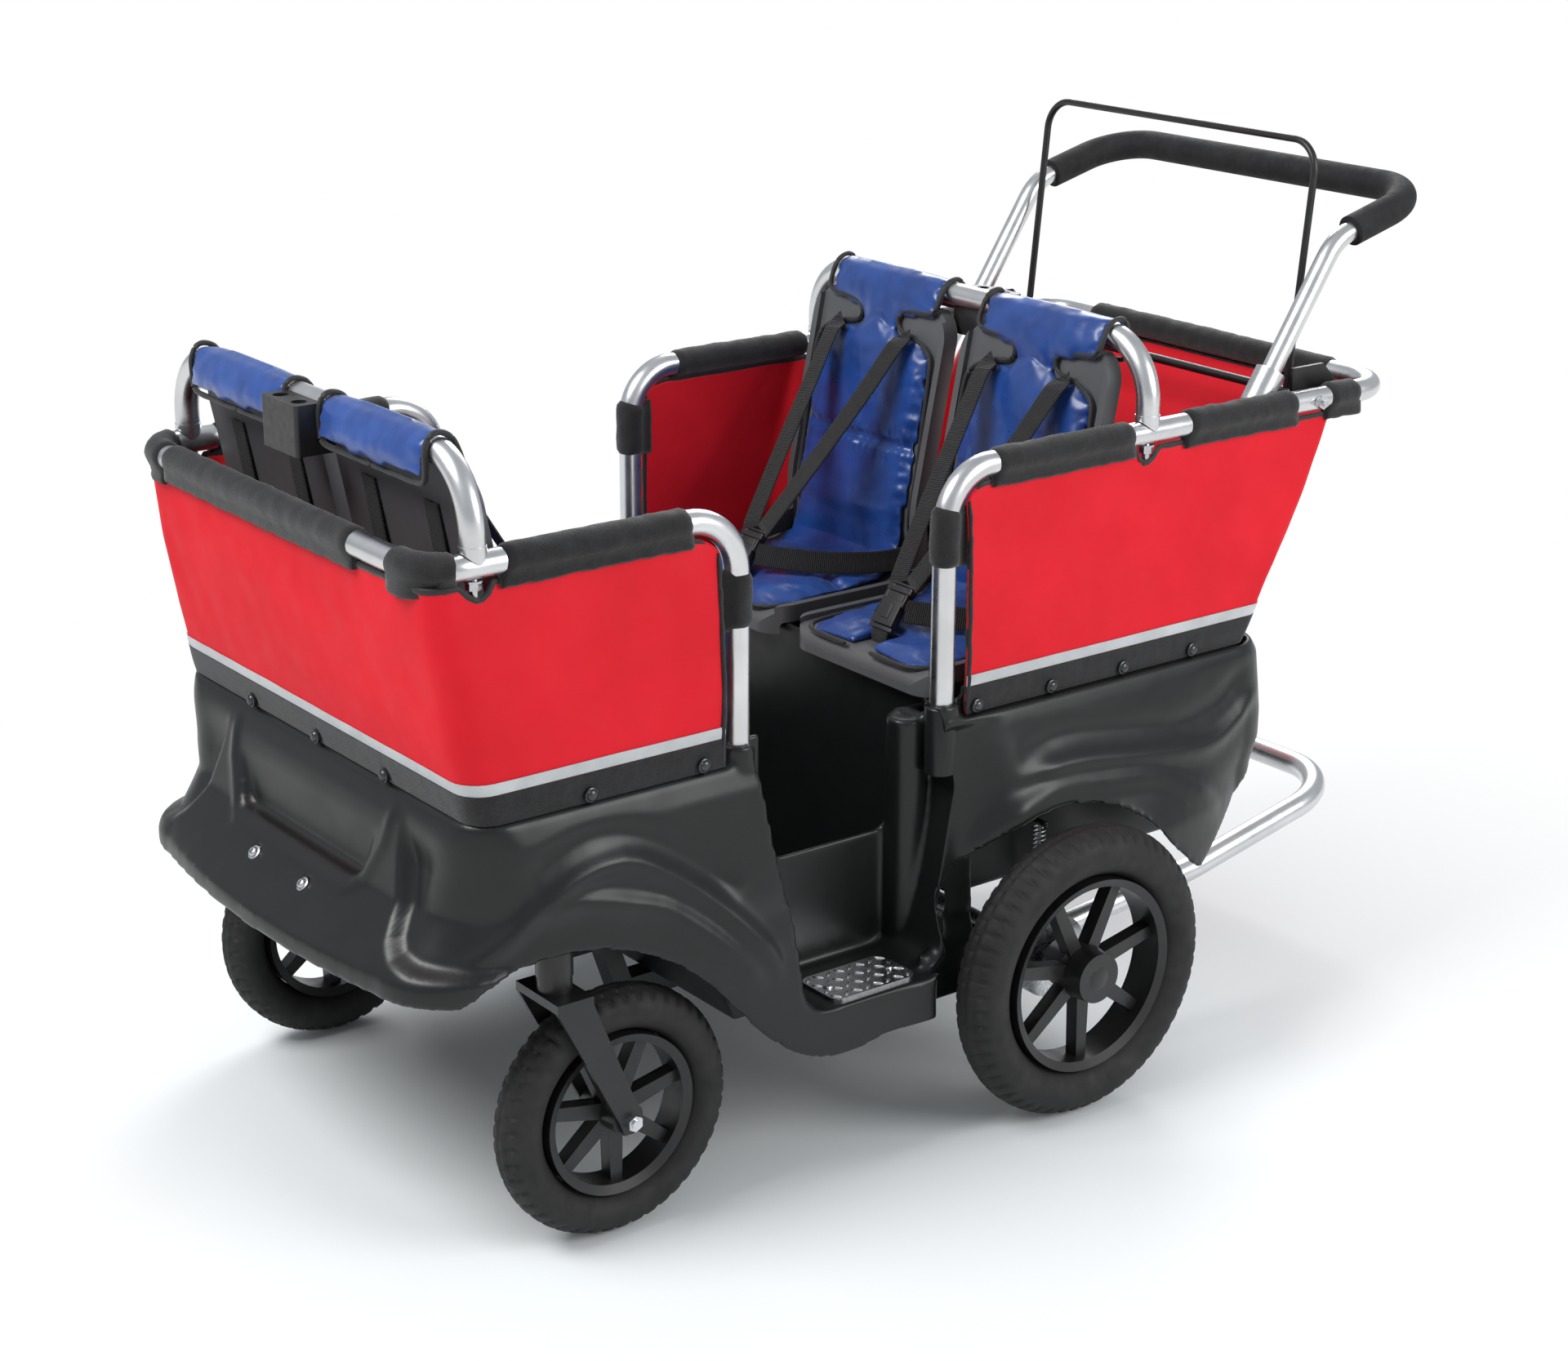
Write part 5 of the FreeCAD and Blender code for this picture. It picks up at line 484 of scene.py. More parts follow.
def make_floor():
    """A pale disc that turns to plain white away from the object."""
    around = 64
    verts = [(0, 0, 0)]
    faces = []
    for ring, reach in enumerate(FLOOR_RINGS):
        for i in range(around):
            angle = 2 * math.pi * i / around
            verts.append((reach * math.cos(angle), reach * math.sin(angle), 0))
            a = 1 + ring * around + i
            b = 1 + ring * around + (i + 1) % around
            faces.append((0, a, b) if ring == 0 else (a - around, a, b, b - around))
    mesh = bpy.data.meshes.new("floor")
    mesh.from_pydata(verts, [], faces)
    obj = linked("floor", mesh)
    obj.location.z = -0.0004
    made, tree = new_material("floor_paint")
    shader = add_node(tree, "BsdfPrincipled", {
        "Base Color": (0.82, 0.845, 0.85, 1), "Roughness": 0.9, "Specular IOR Level": 0.1})
    coords = add_node(tree, "TexCoord").outputs["Object"]
    length = add_node(tree, "VectorMath", {0: coords}, operation="LENGTH").outputs["Value"]
    fade = add_node(tree, "MapRange", {"From Min": FLOOR_FADE[0], "From Max": FLOOR_FADE[1],
                                       "Value": length}, interpolation_type="SMOOTHSTEP")
    path = add_node(tree, "LightPath").outputs
    rays = math_node(tree, "MAXIMUM", path["Is Camera Ray"], path["Is Glossy Ray"])
    rays = math_node(tree, "MAXIMUM", rays, path["Is Transmission Ray"])
    amount = math_node(tree, "MULTIPLY", rays, fade.outputs[0])
    white = add_node(tree, "Emission", {"Color": (1, 1, 1, 1)})
    mix = add_node(tree, "MixShader", {0: amount, 1: shader.outputs[0], 2: white.outputs[0]})
    add_node(tree, "OutputMaterial", {0: mix.outputs[0]})
    mesh.materials.append(made)


# ---------------------------------------------------------------- tub

# (y, z) in mm of the moulded lines on each side of the tub, then height and the widths of the
# slopes above and below the line
SIDE_LINES = (
    # rolled lip of the front, rising into the upper ridge over the front wheel
    ([(-640, 308), (-606, 320), (-580, 337), (-548, 364), (-503, 388), (-467, 395), (-435, 389),
      (-389, 360), (-341, 319), (-302, 274), (-272, 231)], 8.5, 9.0, 13.0),
    # lower ridge over the front wheel
    ([(-552, 346), (-525, 360), (-495, 364), (-450, 352), (-400, 332), (-345, 284), (-300, 228)],
     6.5, 9.0, 13.0),
    # groove above the upper ridge
    ([(-560, 392), (-504, 418), (-463, 422), (-422, 410), (-366, 372), (-318, 326)],
     -4.5, 12.0, 12.0),
    # upper ridge over the rear wheel
    ([(20, 366), (54, 372), (116, 372), (205, 360), (296, 349), (345, 359), (381, 380),
      (413, 386)], 7.5, 9.0, 13.0),
    # groove above it
    ([(30, 392), (70, 397), (115, 398), (208, 386), (271, 378), (330, 388), (365, 410),
      (396, 420)], -4.5, 12.0, 12.0),
    # crown of the rear fender
    ([(-36, 258), (-16, 307), (16, 335), (77, 352), (146, 347), (218, 334), (274, 307),
      (320, 273)], 5.5, 9.0, 15.0),
)
# (x, z) in mm of the raised lip round the panel in the front, and its height
RECESS_LIP = ((160, 446), (151, 400), (130, 360), (112, 349), (0, 348), (-60, 348))
LIP_HEIGHT = 3.2
# (x, z) in mm of the crease beside the centre panel, from the rolled lip up to the belt
CREASE = ((360, 304), (290, 304.5), (250, 307), (222, 314), (206, 326), (195, 345), (186, 372),
          (177, 402), (168, 440))
# plan centre of a front corner's rounding and the depth of its hollow, in mm
CORNER = (215.0, -570.0)
HOLLOW_DEPTH = 14
# half width in mm at which the flare over a rear wheel starts, and how much is taken back
FLARE_HALF = 290
FLARE_CUT = 0.85
# (y, z) in mm of the side panel between a step and the rear wheel
PANEL = ((-94, 151), (-38, 151), (-20, 190), (-12, 235), (-12, 286), (-47, 300), (-46, 238),
         (-54, 216), (-74, 204), (-95, 200))
PANEL_FOOT = (322, 151)
PANEL_LEAN = 24 / 140
PANEL_WALL = 8


def curved(line):
    """A polyline of (y, z) pairs rounded through its points."""
    return [(p.x, p.y) for p in smooth_line([Vector((*pair, 0)) for pair in line], 14)]


def distance_to_line(points, line):
    """Least distance of each point to a polyline, and a fade at the line's two ends."""
    line = np.asarray(line, float)
    best = np.full(len(points), 1e9)
    along = np.zeros(len(points))
    total = len(line) - 1
    for i in range(total):
        a, b = line[i], line[i + 1]
        run = b - a
        t = np.clip(((points - a) @ run) / (run @ run), 0, 1)
        gap = np.linalg.norm(points - (a + t[:, None] * run), axis=1)
        near = gap < best
        best[near] = gap[near]
        along[near] = (i + t[near]) / total
    return best, smooth_ramp(np.minimum(along, 1 - along) * 7, 0, 1)


def above_line(points, line):
    line = np.asarray(line, float)
    order = np.argsort(line[:, 0])
    return points[:, 1] > np.interp(points[:, 0], line[order, 0], line[order, 1])


def shape_tub(co):
    """Moves both skins of the tub together: moulded ridges, grooves and front corner hollows."""
    x, y, z = co[:, 0] / MM, co[:, 1] / MM, co[:, 2] / MM
    side = np.sign(x)
    flat = np.stack([y, z], 1)
    below_belt = 1 - smooth_ramp(z, 426, 440)
    beside_door = 1 - smooth_ramp(y, -292, -272) * (1 - smooth_ramp(y, -40, -14))
    shift = np.zeros(len(co))
    for corners, height, upper, lower in SIDE_LINES:
        line = curved(corners)
        gap, fade = distance_to_line(flat, line)
        width = np.where(above_line(flat, line), upper, lower)
        shift += height * np.exp(-(gap / width) ** 2) * fade
    shift *= smooth_ramp(np.abs(x), 236, 262) * below_belt * beside_door
    # the flare over the rear wheel starts behind the doorway's edge
    near = smooth_ramp(y, -72, -60) * (1 - smooth_ramp(y, -44, 34)) * smooth_ramp(z, 196, 232)
    near *= below_belt * (np.abs(x) > FLARE_HALF)
    taken_in = side * (FLARE_HALF + (np.abs(x) - FLARE_HALF) * (1 - FLARE_CUT * near))
    x = np.where(near > 0, taken_in, x)
    # hollows that set the corner columns back from the centre panel and the rolled bumper
    wide = np.maximum(np.abs(x) - CORNER[0], 0)
    deep = np.maximum(CORNER[1] - y, 0)
    spread = np.maximum(np.hypot(wide, deep), 0.001)
    face = np.stack([np.abs(x), z], 1)
    crease = np.asarray(CREASE, float)
    gap, _ = distance_to_line(face, crease)
    beyond = (np.abs(x) > np.interp(z, crease[:, 1], crease[:, 0])) & (z > crease[0, 1])
    gap = np.where(beyond, gap, 0)
    hollow = smooth_ramp(gap, 0, 12) * (1 - 0.6 * smooth_ramp(gap, 12, 95))
    hollow *= (1 - smooth_ramp(z, 388, 440)) * (1 - smooth_ramp(y, -604, -548)) * HOLLOW_DEPTH
    x = x + side * (shift - hollow * wide / spread)
    y = y + hollow * deep / spread
    gap, fade = distance_to_line(np.stack([np.abs(x), z], 1), RECESS_LIP)
    y = y - LIP_HEIGHT * np.exp(-(gap / 7) ** 2) * fade * (1 - smooth_ramp(y, -604, -590))
    return np.stack([x, y, z], 1) * MM


def add_side_panels(obj):
    """Carries each side of the tub on behind its step, inboard of the rear wheel."""
    bm = bmesh.new()
    bm.from_mesh(obj.data)
    foot_half, foot_z = PANEL_FOOT
    for _, s in SIDES:
        outer, inner = (
            [bm.verts.new(Vector((s * (foot_half - PANEL_LEAN * (z - foot_z) - inset), y, z)) * MM)
             for y, z in PANEL] for inset in (0, PANEL_WALL))
        bm.faces.new(outer)
        bm.faces.new(inner[::-1])
        for i in range(len(PANEL)):
            j = (i + 1) % len(PANEL)
            bm.faces.new((outer[j], outer[i], inner[i], inner[j]))
    bmesh.ops.recalc_face_normals(bm, faces=bm.faces)
    bm.to_mesh(obj.data)
    bm.free()


def make_tub():
    obj = copy_of("tub", "tub_moulding")
    add_side_panels(obj)
    modified(obj, "REMESH", mode="VOXEL", voxel_size=0.0034)
    modified(obj, "SMOOTH", iterations=6, factor=0.5)
    apply_modifiers(obj)
    set_points(obj, shape_tub(vertex_array(obj)))
    modified(obj, "SMOOTH", iterations=2, factor=0.4)
    apply_modifiers(obj)
    shade_smooth(obj)
    return dress(obj, "tub_plastic", replaces=["tub"])


# ---------------------------------------------------------------- canvas sides

# heights and plan sizes of the rails, posts, hoops and canvases in mm
CANVAS_TOP = 680.3
CANVAS_THICKNESS = 2.2
CANVAS_BELLY = 4
FOOT = {"front": 452.5, "rear": 441.5}
RAIL_HEIGHT = 696.0
RAIL_HALF = 277.0
POST_Y = {"front": -299.0, "rear": -43.0}
HOOP_Y = {"front": -585.0, "rear": 228.0}
# plan corners (x, y) of a canvas on its +x side, at its foot and at its top, and their bend
CANVAS_PLANS = {
    "front": (((288, -321.5), (288, -596)), ((281, -321.5), (281, -636)), 26),
    "rear": (((288, -20.5), (288, 372), (250, 404)), ((281, -20.5), (281, 500), (204, 596)), 12),
}
# grid columns of each straight run between two bends, and of a bend
COUNTS = {"front": (40, 84, 40), "rear": (76, 26, 66, 26, 76)}
BEND_COLUMNS = 6
LAST_COLUMN = {which: sum(counts) + (len(counts) - 1) * BEND_COLUMNS
               for which, counts in COUNTS.items()}
CANVAS_ROWS = 30
# the canvas is cut back round the bend of a post and round the hoop bolts
POST_BEND = 55
POST_BEND_Z = RAIL_HEIGHT - POST_BEND
POST_CUT = 39.3
BOLT_CUT = 14
SIDE_ONLY = 240
# hem and tape: height above the foot in mm, from and to, thickness and slot
BANDS = (("hem", 0, 29, 1.5, "trim_fabric", "hem_bands"),
         ("tape", 29.6, 41, 0.8, "reflective_tape", "reflective_tapes"))
BAND_ROWS = 4
BAND_GAP = 0.4


def plan_points(which, share):
    """Plan points at a share of the height: as many on every level, so levels join into a grid."""
    foot, top, bend = CANVAS_PLANS[which]
    near = [Vector([p + (q - p) * share for p, q in zip(a, b)] + [0]) for a, b in zip(foot, top)]
    corners = near + [Vector((-p.x, p.y, 0)) for p in near[::-1]]
    points = []
    at = corners[0]
    for i, runs in enumerate(COUNTS[which][:-1]):
        start, end, centre, _ = corner_arc(*corners[i:i + 3], bend)
        points += [at.lerp(start, k / runs) for k in range(runs)]
        points += [centre + slerp(start - centre, end - centre, k / BEND_COLUMNS)
                   for k in range(BEND_COLUMNS)]
        at = end
    runs = COUNTS[which][-1]
    return points + [at.lerp(corners[-1], k / runs) for k in range(runs + 1)]


def outward_of(points):
    """Outward plan directions along a band that starts on the +x side."""
    count = len(points)
    runs = [points[min(i + 1, count - 1)] - points[max(i - 1, 0)] for i in range(count)]
    normals = [Vector((-run.y, run.x, 0)).normalized() for run in runs]
    return normals if normals[0].x > 0 else [-n for n in normals]


PLANS = {}


def canvas_point(which, column, height):
    """A point on the outer face of a canvas, at a column and a height in mm."""
    share = (height - FOOT[which]) / (CANVAS_TOP - FOOT[which])
    key = (which, round(share, 5))
    if key not in PLANS:
        points = plan_points(which, share)
        PLANS[key] = (points, outward_of(points))
    points, normals = PLANS[key]
    belly = CANVAS_BELLY * min(1.0, max(0.0, 1.5 - 1.5 * abs(2 * share - 1)))
    at = points[column] + normals[column] * belly
    return Vector((at.x, at.y, height)), normals[column]


def column_top(which, column):
    """Height of the canvas's upper edge at a column."""
    point = canvas_point(which, column, CANVAS_TOP)[0]
    if abs(point.x) <= SIDE_ONLY:
        return CANVAS_TOP
    top = CANVAS_TOP
    outward = 1 if which == "front" else -1
    beyond = (point.y - (POST_Y[which] - outward * POST_BEND)) * outward
    if beyond > 0:
        top = min(top, POST_BEND_Z + math.sqrt(max(POST_CUT ** 2 - beyond ** 2, 0)))
    reach = abs(point.y - HOOP_Y[which])
    if reach < BOLT_CUT:
        top = min(top, CANVAS_TOP - math.sqrt(BOLT_CUT ** 2 - reach ** 2))
    return top


def canvas_folds(which, at):
    """Slack of the cloth, in mm: slanting tension folds, weak at the seams."""
    foot = FOOT[which]
    share = (at.z - foot) / (CANVAS_TOP - foot)
    calm = min(1.0, 5 * max(share - 0.12, 0)) * min(1.0, 6 * max(1 - share, 0))
    around = at.x + at.y
    slow = noise.noise(Vector((around / 90, at.z / 140, 1.7 if which == "front" else 6.1)))
    slant = noise.noise(Vector(((around + 0.5 * at.z) / 34, (at.z - 0.3 * around) / 130, 9.2)))
    return calm * (2.6 * slow + 1.5 * slant)


def make_canvas(which):
    foot = FOOT[which]
    columns = LAST_COLUMN[which] + 1
    verts = []
    for r in range(CANVAS_ROWS):
        for c in range(columns):
            height = foot + (column_top(which, c) - foot) * r / (CANVAS_ROWS - 1)
            at, normal = canvas_point(which, c, height)
            verts.append((at + normal * canvas_folds(which, at)) * MM)
    obj = add_piece(which + "_canvas_cloth", verts, grid_faces(CANVAS_ROWS, columns), "canvas_red")
    modified(obj, "SOLIDIFY", thickness=CANVAS_THICKNESS * MM, offset=-1.0)
    apply_modifiers(obj)
    shade_smooth(obj)
    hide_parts(which + "_canvas")
    return obj


def band_on_canvas(name, which, low, high, thickness, slot):
    """A flat band sewn on the outer face of a canvas, crowned between its edges."""
    columns = LAST_COLUMN[which] + 1
    verts = []
    for layer in (BAND_GAP, BAND_GAP + thickness):
        for r in range(BAND_ROWS):
            share = r / (BAND_ROWS - 1)
            crown = 0.35 * thickness * (1 - (2 * share - 1) ** 2) if layer > BAND_GAP else 0
            for c in range(columns):
                at, normal = canvas_point(which, c, low + (high - low) * share)
                verts.append((at + normal * (layer + crown + canvas_folds(which, at))) * MM)
    faces = grid_faces(BAND_ROWS, columns)
    total = BAND_ROWS * columns
    edges = [(r * columns + c, r * columns + c + 1)
             for r in (0, BAND_ROWS - 1) for c in range(columns - 1)]
    edges += [(r * columns + c, (r + 1) * columns + c)
              for c in (0, columns - 1) for r in range(BAND_ROWS - 1)]
    faces += shifted(faces, total) + [(a, b, b + total, a + total) for a, b in edges]
    band = add_piece(name, verts, faces, slot, smooth=False)
    smooth_by_angle(band, 50)
    return band


def make_canvases():
    sheets = {}
    for which in ("front", "rear"):
        sheets[which] = make_canvas(which)
        for kind, low, high, thickness, slot, node in BANDS:
            band = band_on_canvas("%s_%s" % (which, kind), which, FOOT[which] + low,
                                  FOOT[which] + high, thickness, slot)
            if which == "front":
                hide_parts(node)
    return sheets


# ---------------------------------------------------------------- bindings and tube sleeves

# a tail starts where a tube's face leans this near to the tail's direction
TAIL_LEAN = 0.72
SLEEVE_RADIUS = 15.4
# spans in mm of the sleeves along each side of the rear rail
REAR_SPANS = (("a", 13, 206), ("b", 278, 446), ("c", 490, 544))


def soft_tube(name, path, radii, steps, rough, tail=None, seed=0.0, material=None):
    """A textile tube through path points in mm; radii are a (side, up) pair.

    A tail (direction, length, thickness) draws the tube out into a flap, as cloth sewn round it."""
    verts = []
    count = len(path)
    wide, high = radii
    for i, at in enumerate(path):
        ahead = (path[min(i + 1, count - 1)] - path[max(i - 1, 0)]).normalized()
        side = ahead.cross(UP if abs(ahead.z) < 0.8 else Vector((1, 0, 0))).normalized()
        above = side.cross(ahead).normalized()
        shrink = min(1.0, 0.55 + 0.45 * min(i, count - 1 - i) / 1.5)
        for k in range(steps):
            turn = 2 * math.pi * k / steps
            off = side * (math.cos(turn) * wide) + above * (math.sin(turn) * high)
            point = at + off * shrink
            swell = noise.noise(point / 17 + Vector((seed, 0, seed)))
            swell += 0.6 * noise.noise(point / 6 + Vector((seed, seed, 0)))
            point += off.normalized() * rough * swell
            if tail:
                direction, length, thick = tail
                lean = off.normalized().dot(direction)
                if lean > TAIL_LEAN:
                    reach = (lean - TAIL_LEAN) / (1 - TAIL_LEAN)
                    flat = point - at
                    across = flat - direction * flat.dot(direction)
                    wave = 1 + 0.16 * noise.noise(at / 14 + Vector((0, seed, 2)))
                    point = at + across * (thick / 2 / max(across.length, thick / 2))
                    point += direction * (wide * 0.9 + length * reach * wave)
            verts.append(point * MM)
    return add_piece(name, verts, tube_faces(count, steps), "trim_fabric", material=material)


def edge_binding(which):
    """Black binding folded over the upper edge of a canvas."""
    path = []
    for c in range(2, LAST_COLUMN[which] - 1):
        at, normal = canvas_point(which, c, column_top(which, c) - 2)
        fold = canvas_folds(which, at)
        wave = 0.7 * noise.noise(at / 9)
        path.append(at - normal * (CANVAS_THICKNESS / 2 - fold) + UP * wave)
    soft_tube(which + "_top_binding", path, (2.1, 3.4), 10, 0.4, material=PIPING)


def door_binding(which, name, side):
    """Binding down the canvas edge beside the doorway."""
    column = 0 if side > 0 else LAST_COLUMN[which]
    foot = FOOT[which]
    top = column_top(which, column)
    toward = Vector((0, 1 if which == "rear" else -1, 0))
    steps = 40
    path = []
    for i in range(steps + 1):
        at, normal = canvas_point(which, column, foot + (top - foot) * i / steps)
        wave = 1.1 * noise.noise(Vector((at.z / 11, side, 3.3)))
        inset = CANVAS_THICKNESS / 2 - canvas_folds(which, at) - wave
        path.append(at - normal * inset + toward * 2.5 + Vector((0, 0.6 * wave, 0)))
    soft_tube("%s_door_binding_%s" % (which, name), path, (2.6, 4.4), 10, 0.4, material=PIPING)


def straight(start, end, step=5.0):
    start, end = Vector(start), Vector(end)
    count = max(2, round((end - start).length / step))
    return [start.lerp(end, k / count) for k in range(count + 1)]


def make_sleeves():
    z, half = RAIL_HEIGHT, RAIL_HALF
    front_y, rear_y = POST_Y["front"], POST_Y["rear"]

    def sleeve(label, path, direction, length, thickness, seed):
        soft_tube("sleeve_" + label, path, (SLEEVE_RADIUS, SLEEVE_RADIUS), 28, 0.9,
                                tail=(Vector(direction).normalized(), length, thickness),
                                seed=seed)

    for name, s in SIDES:
        x = s * half
        below = (0.3 * s, 0, -1)
        sleeve("front_side_" + name, straight((x, -561, z), (x, -353, z)), below, 11, 8, 1 + s)
        bend = rounded_path([(x, -575, z), (x, -632, z), (s * 222, -632, z)], 40, 4)
        bend = [p for p in bend if p.y < -612 or abs(p.x) < half - 0.5]
        sleeve("front_corner_" + name, bend, (0, -0.3, -1), 15, 9, 4 + s)
        sleeve("front_post_" + name, straight((x, front_y, 583), (x, front_y, 643)),
               (0, -1, 0), 15, 7, 7 + s)
        bend = rounded_path([(x, rear_y, 597), (x, rear_y, z), (x, 40, z)], POST_BEND, 4)
        sleeve("rear_post_" + name, [p for p in bend if p.z < 664], (0, 1, 0), 15, 7, 9 + s)
        for label, a, b in REAR_SPANS:
            sleeve("rear_side_%s_%s" % (label, name), straight((x, a, z), (x, b, z)), below,
                   11, 8, a / 50 + s)
    sleeve("front_cross", straight((160, -632, z), (-221, -632, z)), (0, -0.3, -1), 11, 8, 15)
    sleeve("rear_cross", straight((-198, 596, z), (198, 596, z)), (0, 0.3, -1), 11, 8, 17)
    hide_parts("front_sleeves")
    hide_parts("rear_sleeves")


# ---------------------------------------------------------------- padded seats and harness

SEATS = (("front_left", 1, True), ("front_right", -1, True),
         ("rear_left", 1, False), ("rear_right", -1, False))
SEAT_HALF_PITCH = 131
CLOTH_FRAMES = 18
PUFF_LIMIT = 0.006
PUFF_SHARE = 0.75
# sewn channels across the lap and the back, in mm
LAP_CHANNEL_Y = -153.5
BACK_CHANNEL_Z = 621.5
# height in mm of the slit beside a pad's neck
NOTCH_Z = 751.5
# the sewn outline of a pad on its +x side, from the lap's front round to the hoop, in mm
PAD_OUTLINE = (
    (20, -264, 473.6), (70, -264, 473.6), (88, -258, 473.6), (97, -246, 473.6),
    (101, -225, 473.6), (103, -180, 473.6), (103, -120, 473.6), (101, -88, 475.6),
    (98, -70, 489), (99, -60, 510), (101, -63, 545), (103, -54, 600), (103, -45, 660),
    (101, -37, 708), (95, -33, 724), (76, -30, 735), (52, -28, 740), (39, -27, 742),
    (33, -26, 747), (32, -26, 755), (36, -25, 762), (48, -25, 766), (86, -25, 768), (95, -24, 774),
    (96, -18, 790), (96, -10, 803), (96, 6, 807), (96, 15, 795), (96, 15, 768), (90, 15, 760),
    (40, 15, 759), (0, 15, 759))
# directions along and off the front of the harness, and its buckle in the seat's own place
ALONG = Vector((0, 0.6, 0.8))
FACING = Vector((0, -0.8, 0.6))
BUCKLE_AT = Vector((0, -216, 509.5))
# centre, size and taper of the upper end, in mm
BUCKLE_BLOCKS = (
    ((0, 0, -7), (34, 10, 30), 0.86), ((0, 0, 10), (24, 9, 12), 1.0),
    ((14.5, 0, 9), (6, 9.5, 15), 0.9), ((14, -0.6, 22), (9, 8, 4), 1.0),
    ((-14.5, 0, 9), (6, 9.5, 15), 0.9), ((-14, -0.6, 22), (9, 8, 4), 1.0),
    ((0, 0, 20), (38, 9, 7), 1.0), ((0, 0, 26), (38, 5, 3), 1.0), ((0, 0, -25), (36, 6, 5), 1.0),
    ((0, -5.2, -6), (13, 1.6, 18), 0.8))
# (side, rise) of a strap's section, as shares of its width and thickness
STRAP_SECTION = ((-0.5, -0.5), (-0.5, 0.5), (-0.44, 0.8), (0.44, 0.8), (0.5, 0.5), (0.5, -0.5))
BACK_STRAP_POINTS = 24


def seat_matrix(side, in_front):
    y = HOOP_Y["front" if in_front else "rear"]
    turn = Matrix.Rotation(math.pi if in_front else 0, 4, "Z")
    return Matrix.Translation(Vector((side * SEAT_HALF_PITCH, y, 0)) * MM) @ turn


def pad_template():
    """One inflated pad in its seat's own place, from the solid of the rear left pad."""
    obj = copy_of("seat_pad_rear_left", "pad_template")
    obj.data.transform(seat_matrix(1, False).inverted())
    modified(obj, "REMESH", mode="VOXEL", voxel_size=0.0048)
    modified(obj, "SMOOTH", iterations=3)
    apply_modifiers(obj)
    rest = vertex_array(obj)
    settings = modified(obj, "CLOTH").settings
    settings.quality = 5
    settings.use_pressure = True
    settings.uniform_pressure_force = 4.0
    settings.tension_stiffness = 12
    settings.compression_stiffness = 12
    settings.bending_stiffness = 0.4
    settings.effector_weights.gravity = 0
    for step in range(1, CLOTH_FRAMES + 1):
        bpy.context.scene.frame_set(step)
    apply_modifiers(obj)
    bpy.context.scene.frame_set(1)
    moved = vertex_array(obj) - rest
    reach = np.linalg.norm(moved, axis=1)
    share = np.minimum(1, PUFF_LIMIT / np.maximum(reach, 1e-9))
    set_points(obj, rest + (moved - moved.mean(axis=0)) * share[:, None] * PUFF_SHARE)
    modified(obj, "SUBSURF", levels=1)
    apply_modifiers(obj)
    return obj


def notch_drop(x, z):
    """How far a pad moves up or down, in mm, to open the notch beside its neck."""
    below = smooth_ramp(z, 700, 742) * (z < NOTCH_Z)
    above = (z >= NOTCH_Z) * (1 - smooth_ramp(z, 760, 800))
    return smooth_ramp(np.abs(x), 27, 38) * (5 * above - 4.5 * below)


def pinch_pad(obj, seed):
    """Sewn channels, and puckers that run in from the piping."""
    co = vertex_array(obj)
    co[:, 2] += notch_drop(co[:, 0] / MM, co[:, 2] / MM) * MM
    no = vertex_array(obj, "normal")
    x, y, z = co[:, 0] / MM, co[:, 1] / MM, co[:, 2] / MM
    lap = (z < 520) & (y < -90)
    back = (z > 540) & (z < 745)
    half = np.where(z > 757, 96, 103.0)
    across = np.where(lap, LAP_CHANNEL_Y - y, BACK_CHANNEL_Z - z)
    groove = np.exp(-(across / 5.0) ** 2) * (lap | back)
    face = np.clip(np.where(lap, no[:, 2], -no[:, 1]), 0, 1)
    along = np.where(lap, y, z)
    edge = np.clip((np.abs(x) - (half - 40)) / 40, 0, 1)
    crimp = noise_at(np.stack([x * 0.15, y, z], 1) / 9.0, Vector((seed, 0, 0)))
    seam = np.exp(-((np.abs(across) - 10) / 12) ** 2) * (lap | back)
    gather = noise_at(np.stack([x, along * 0.12, x * 0], 1) / 8.5, Vector((0, seed, 5)))
    slow = noise_at(co / 0.045, Vector((seed * 7.31, seed * 3.7, seed * 1.9)))
    push = -5.0 * groove * face + 2.9 * crimp * edge ** 1.3 + 2.3 * gather * seam * face
    push += 1.5 * slow * face
    set_points(obj, co + no * (push * MM)[:, None])


def strap_mesh(name, path, normals):
    """A flat woven strap along points in mm, each with its outward normal, with metre UVs."""
    verts, uvs = [], []
    count = len(path)
    run = 0.0
    for i, at in enumerate(path):
        ahead = (path[min(i + 1, count - 1)] - path[max(i - 1, 0)]).normalized()
        normal = (normals[i] - ahead * normals[i].dot(ahead)).normalized()
        side = ahead.cross(normal).normalized()
        if i:
            run += (at - path[i - 1]).length
        for s, t in STRAP_SECTION:
            off = side * (s * STRAP_WIDTH) + normal * (t * STRAP_THICKNESS)
            verts.append((at + off) * MM)
            uvs.append((run * MM, s * STRAP_WIDTH * MM))
    faces = tube_faces(count, len(STRAP_SECTION))
    return add_piece(name, verts, faces, "webbing", smooth=False, uvs=uvs)


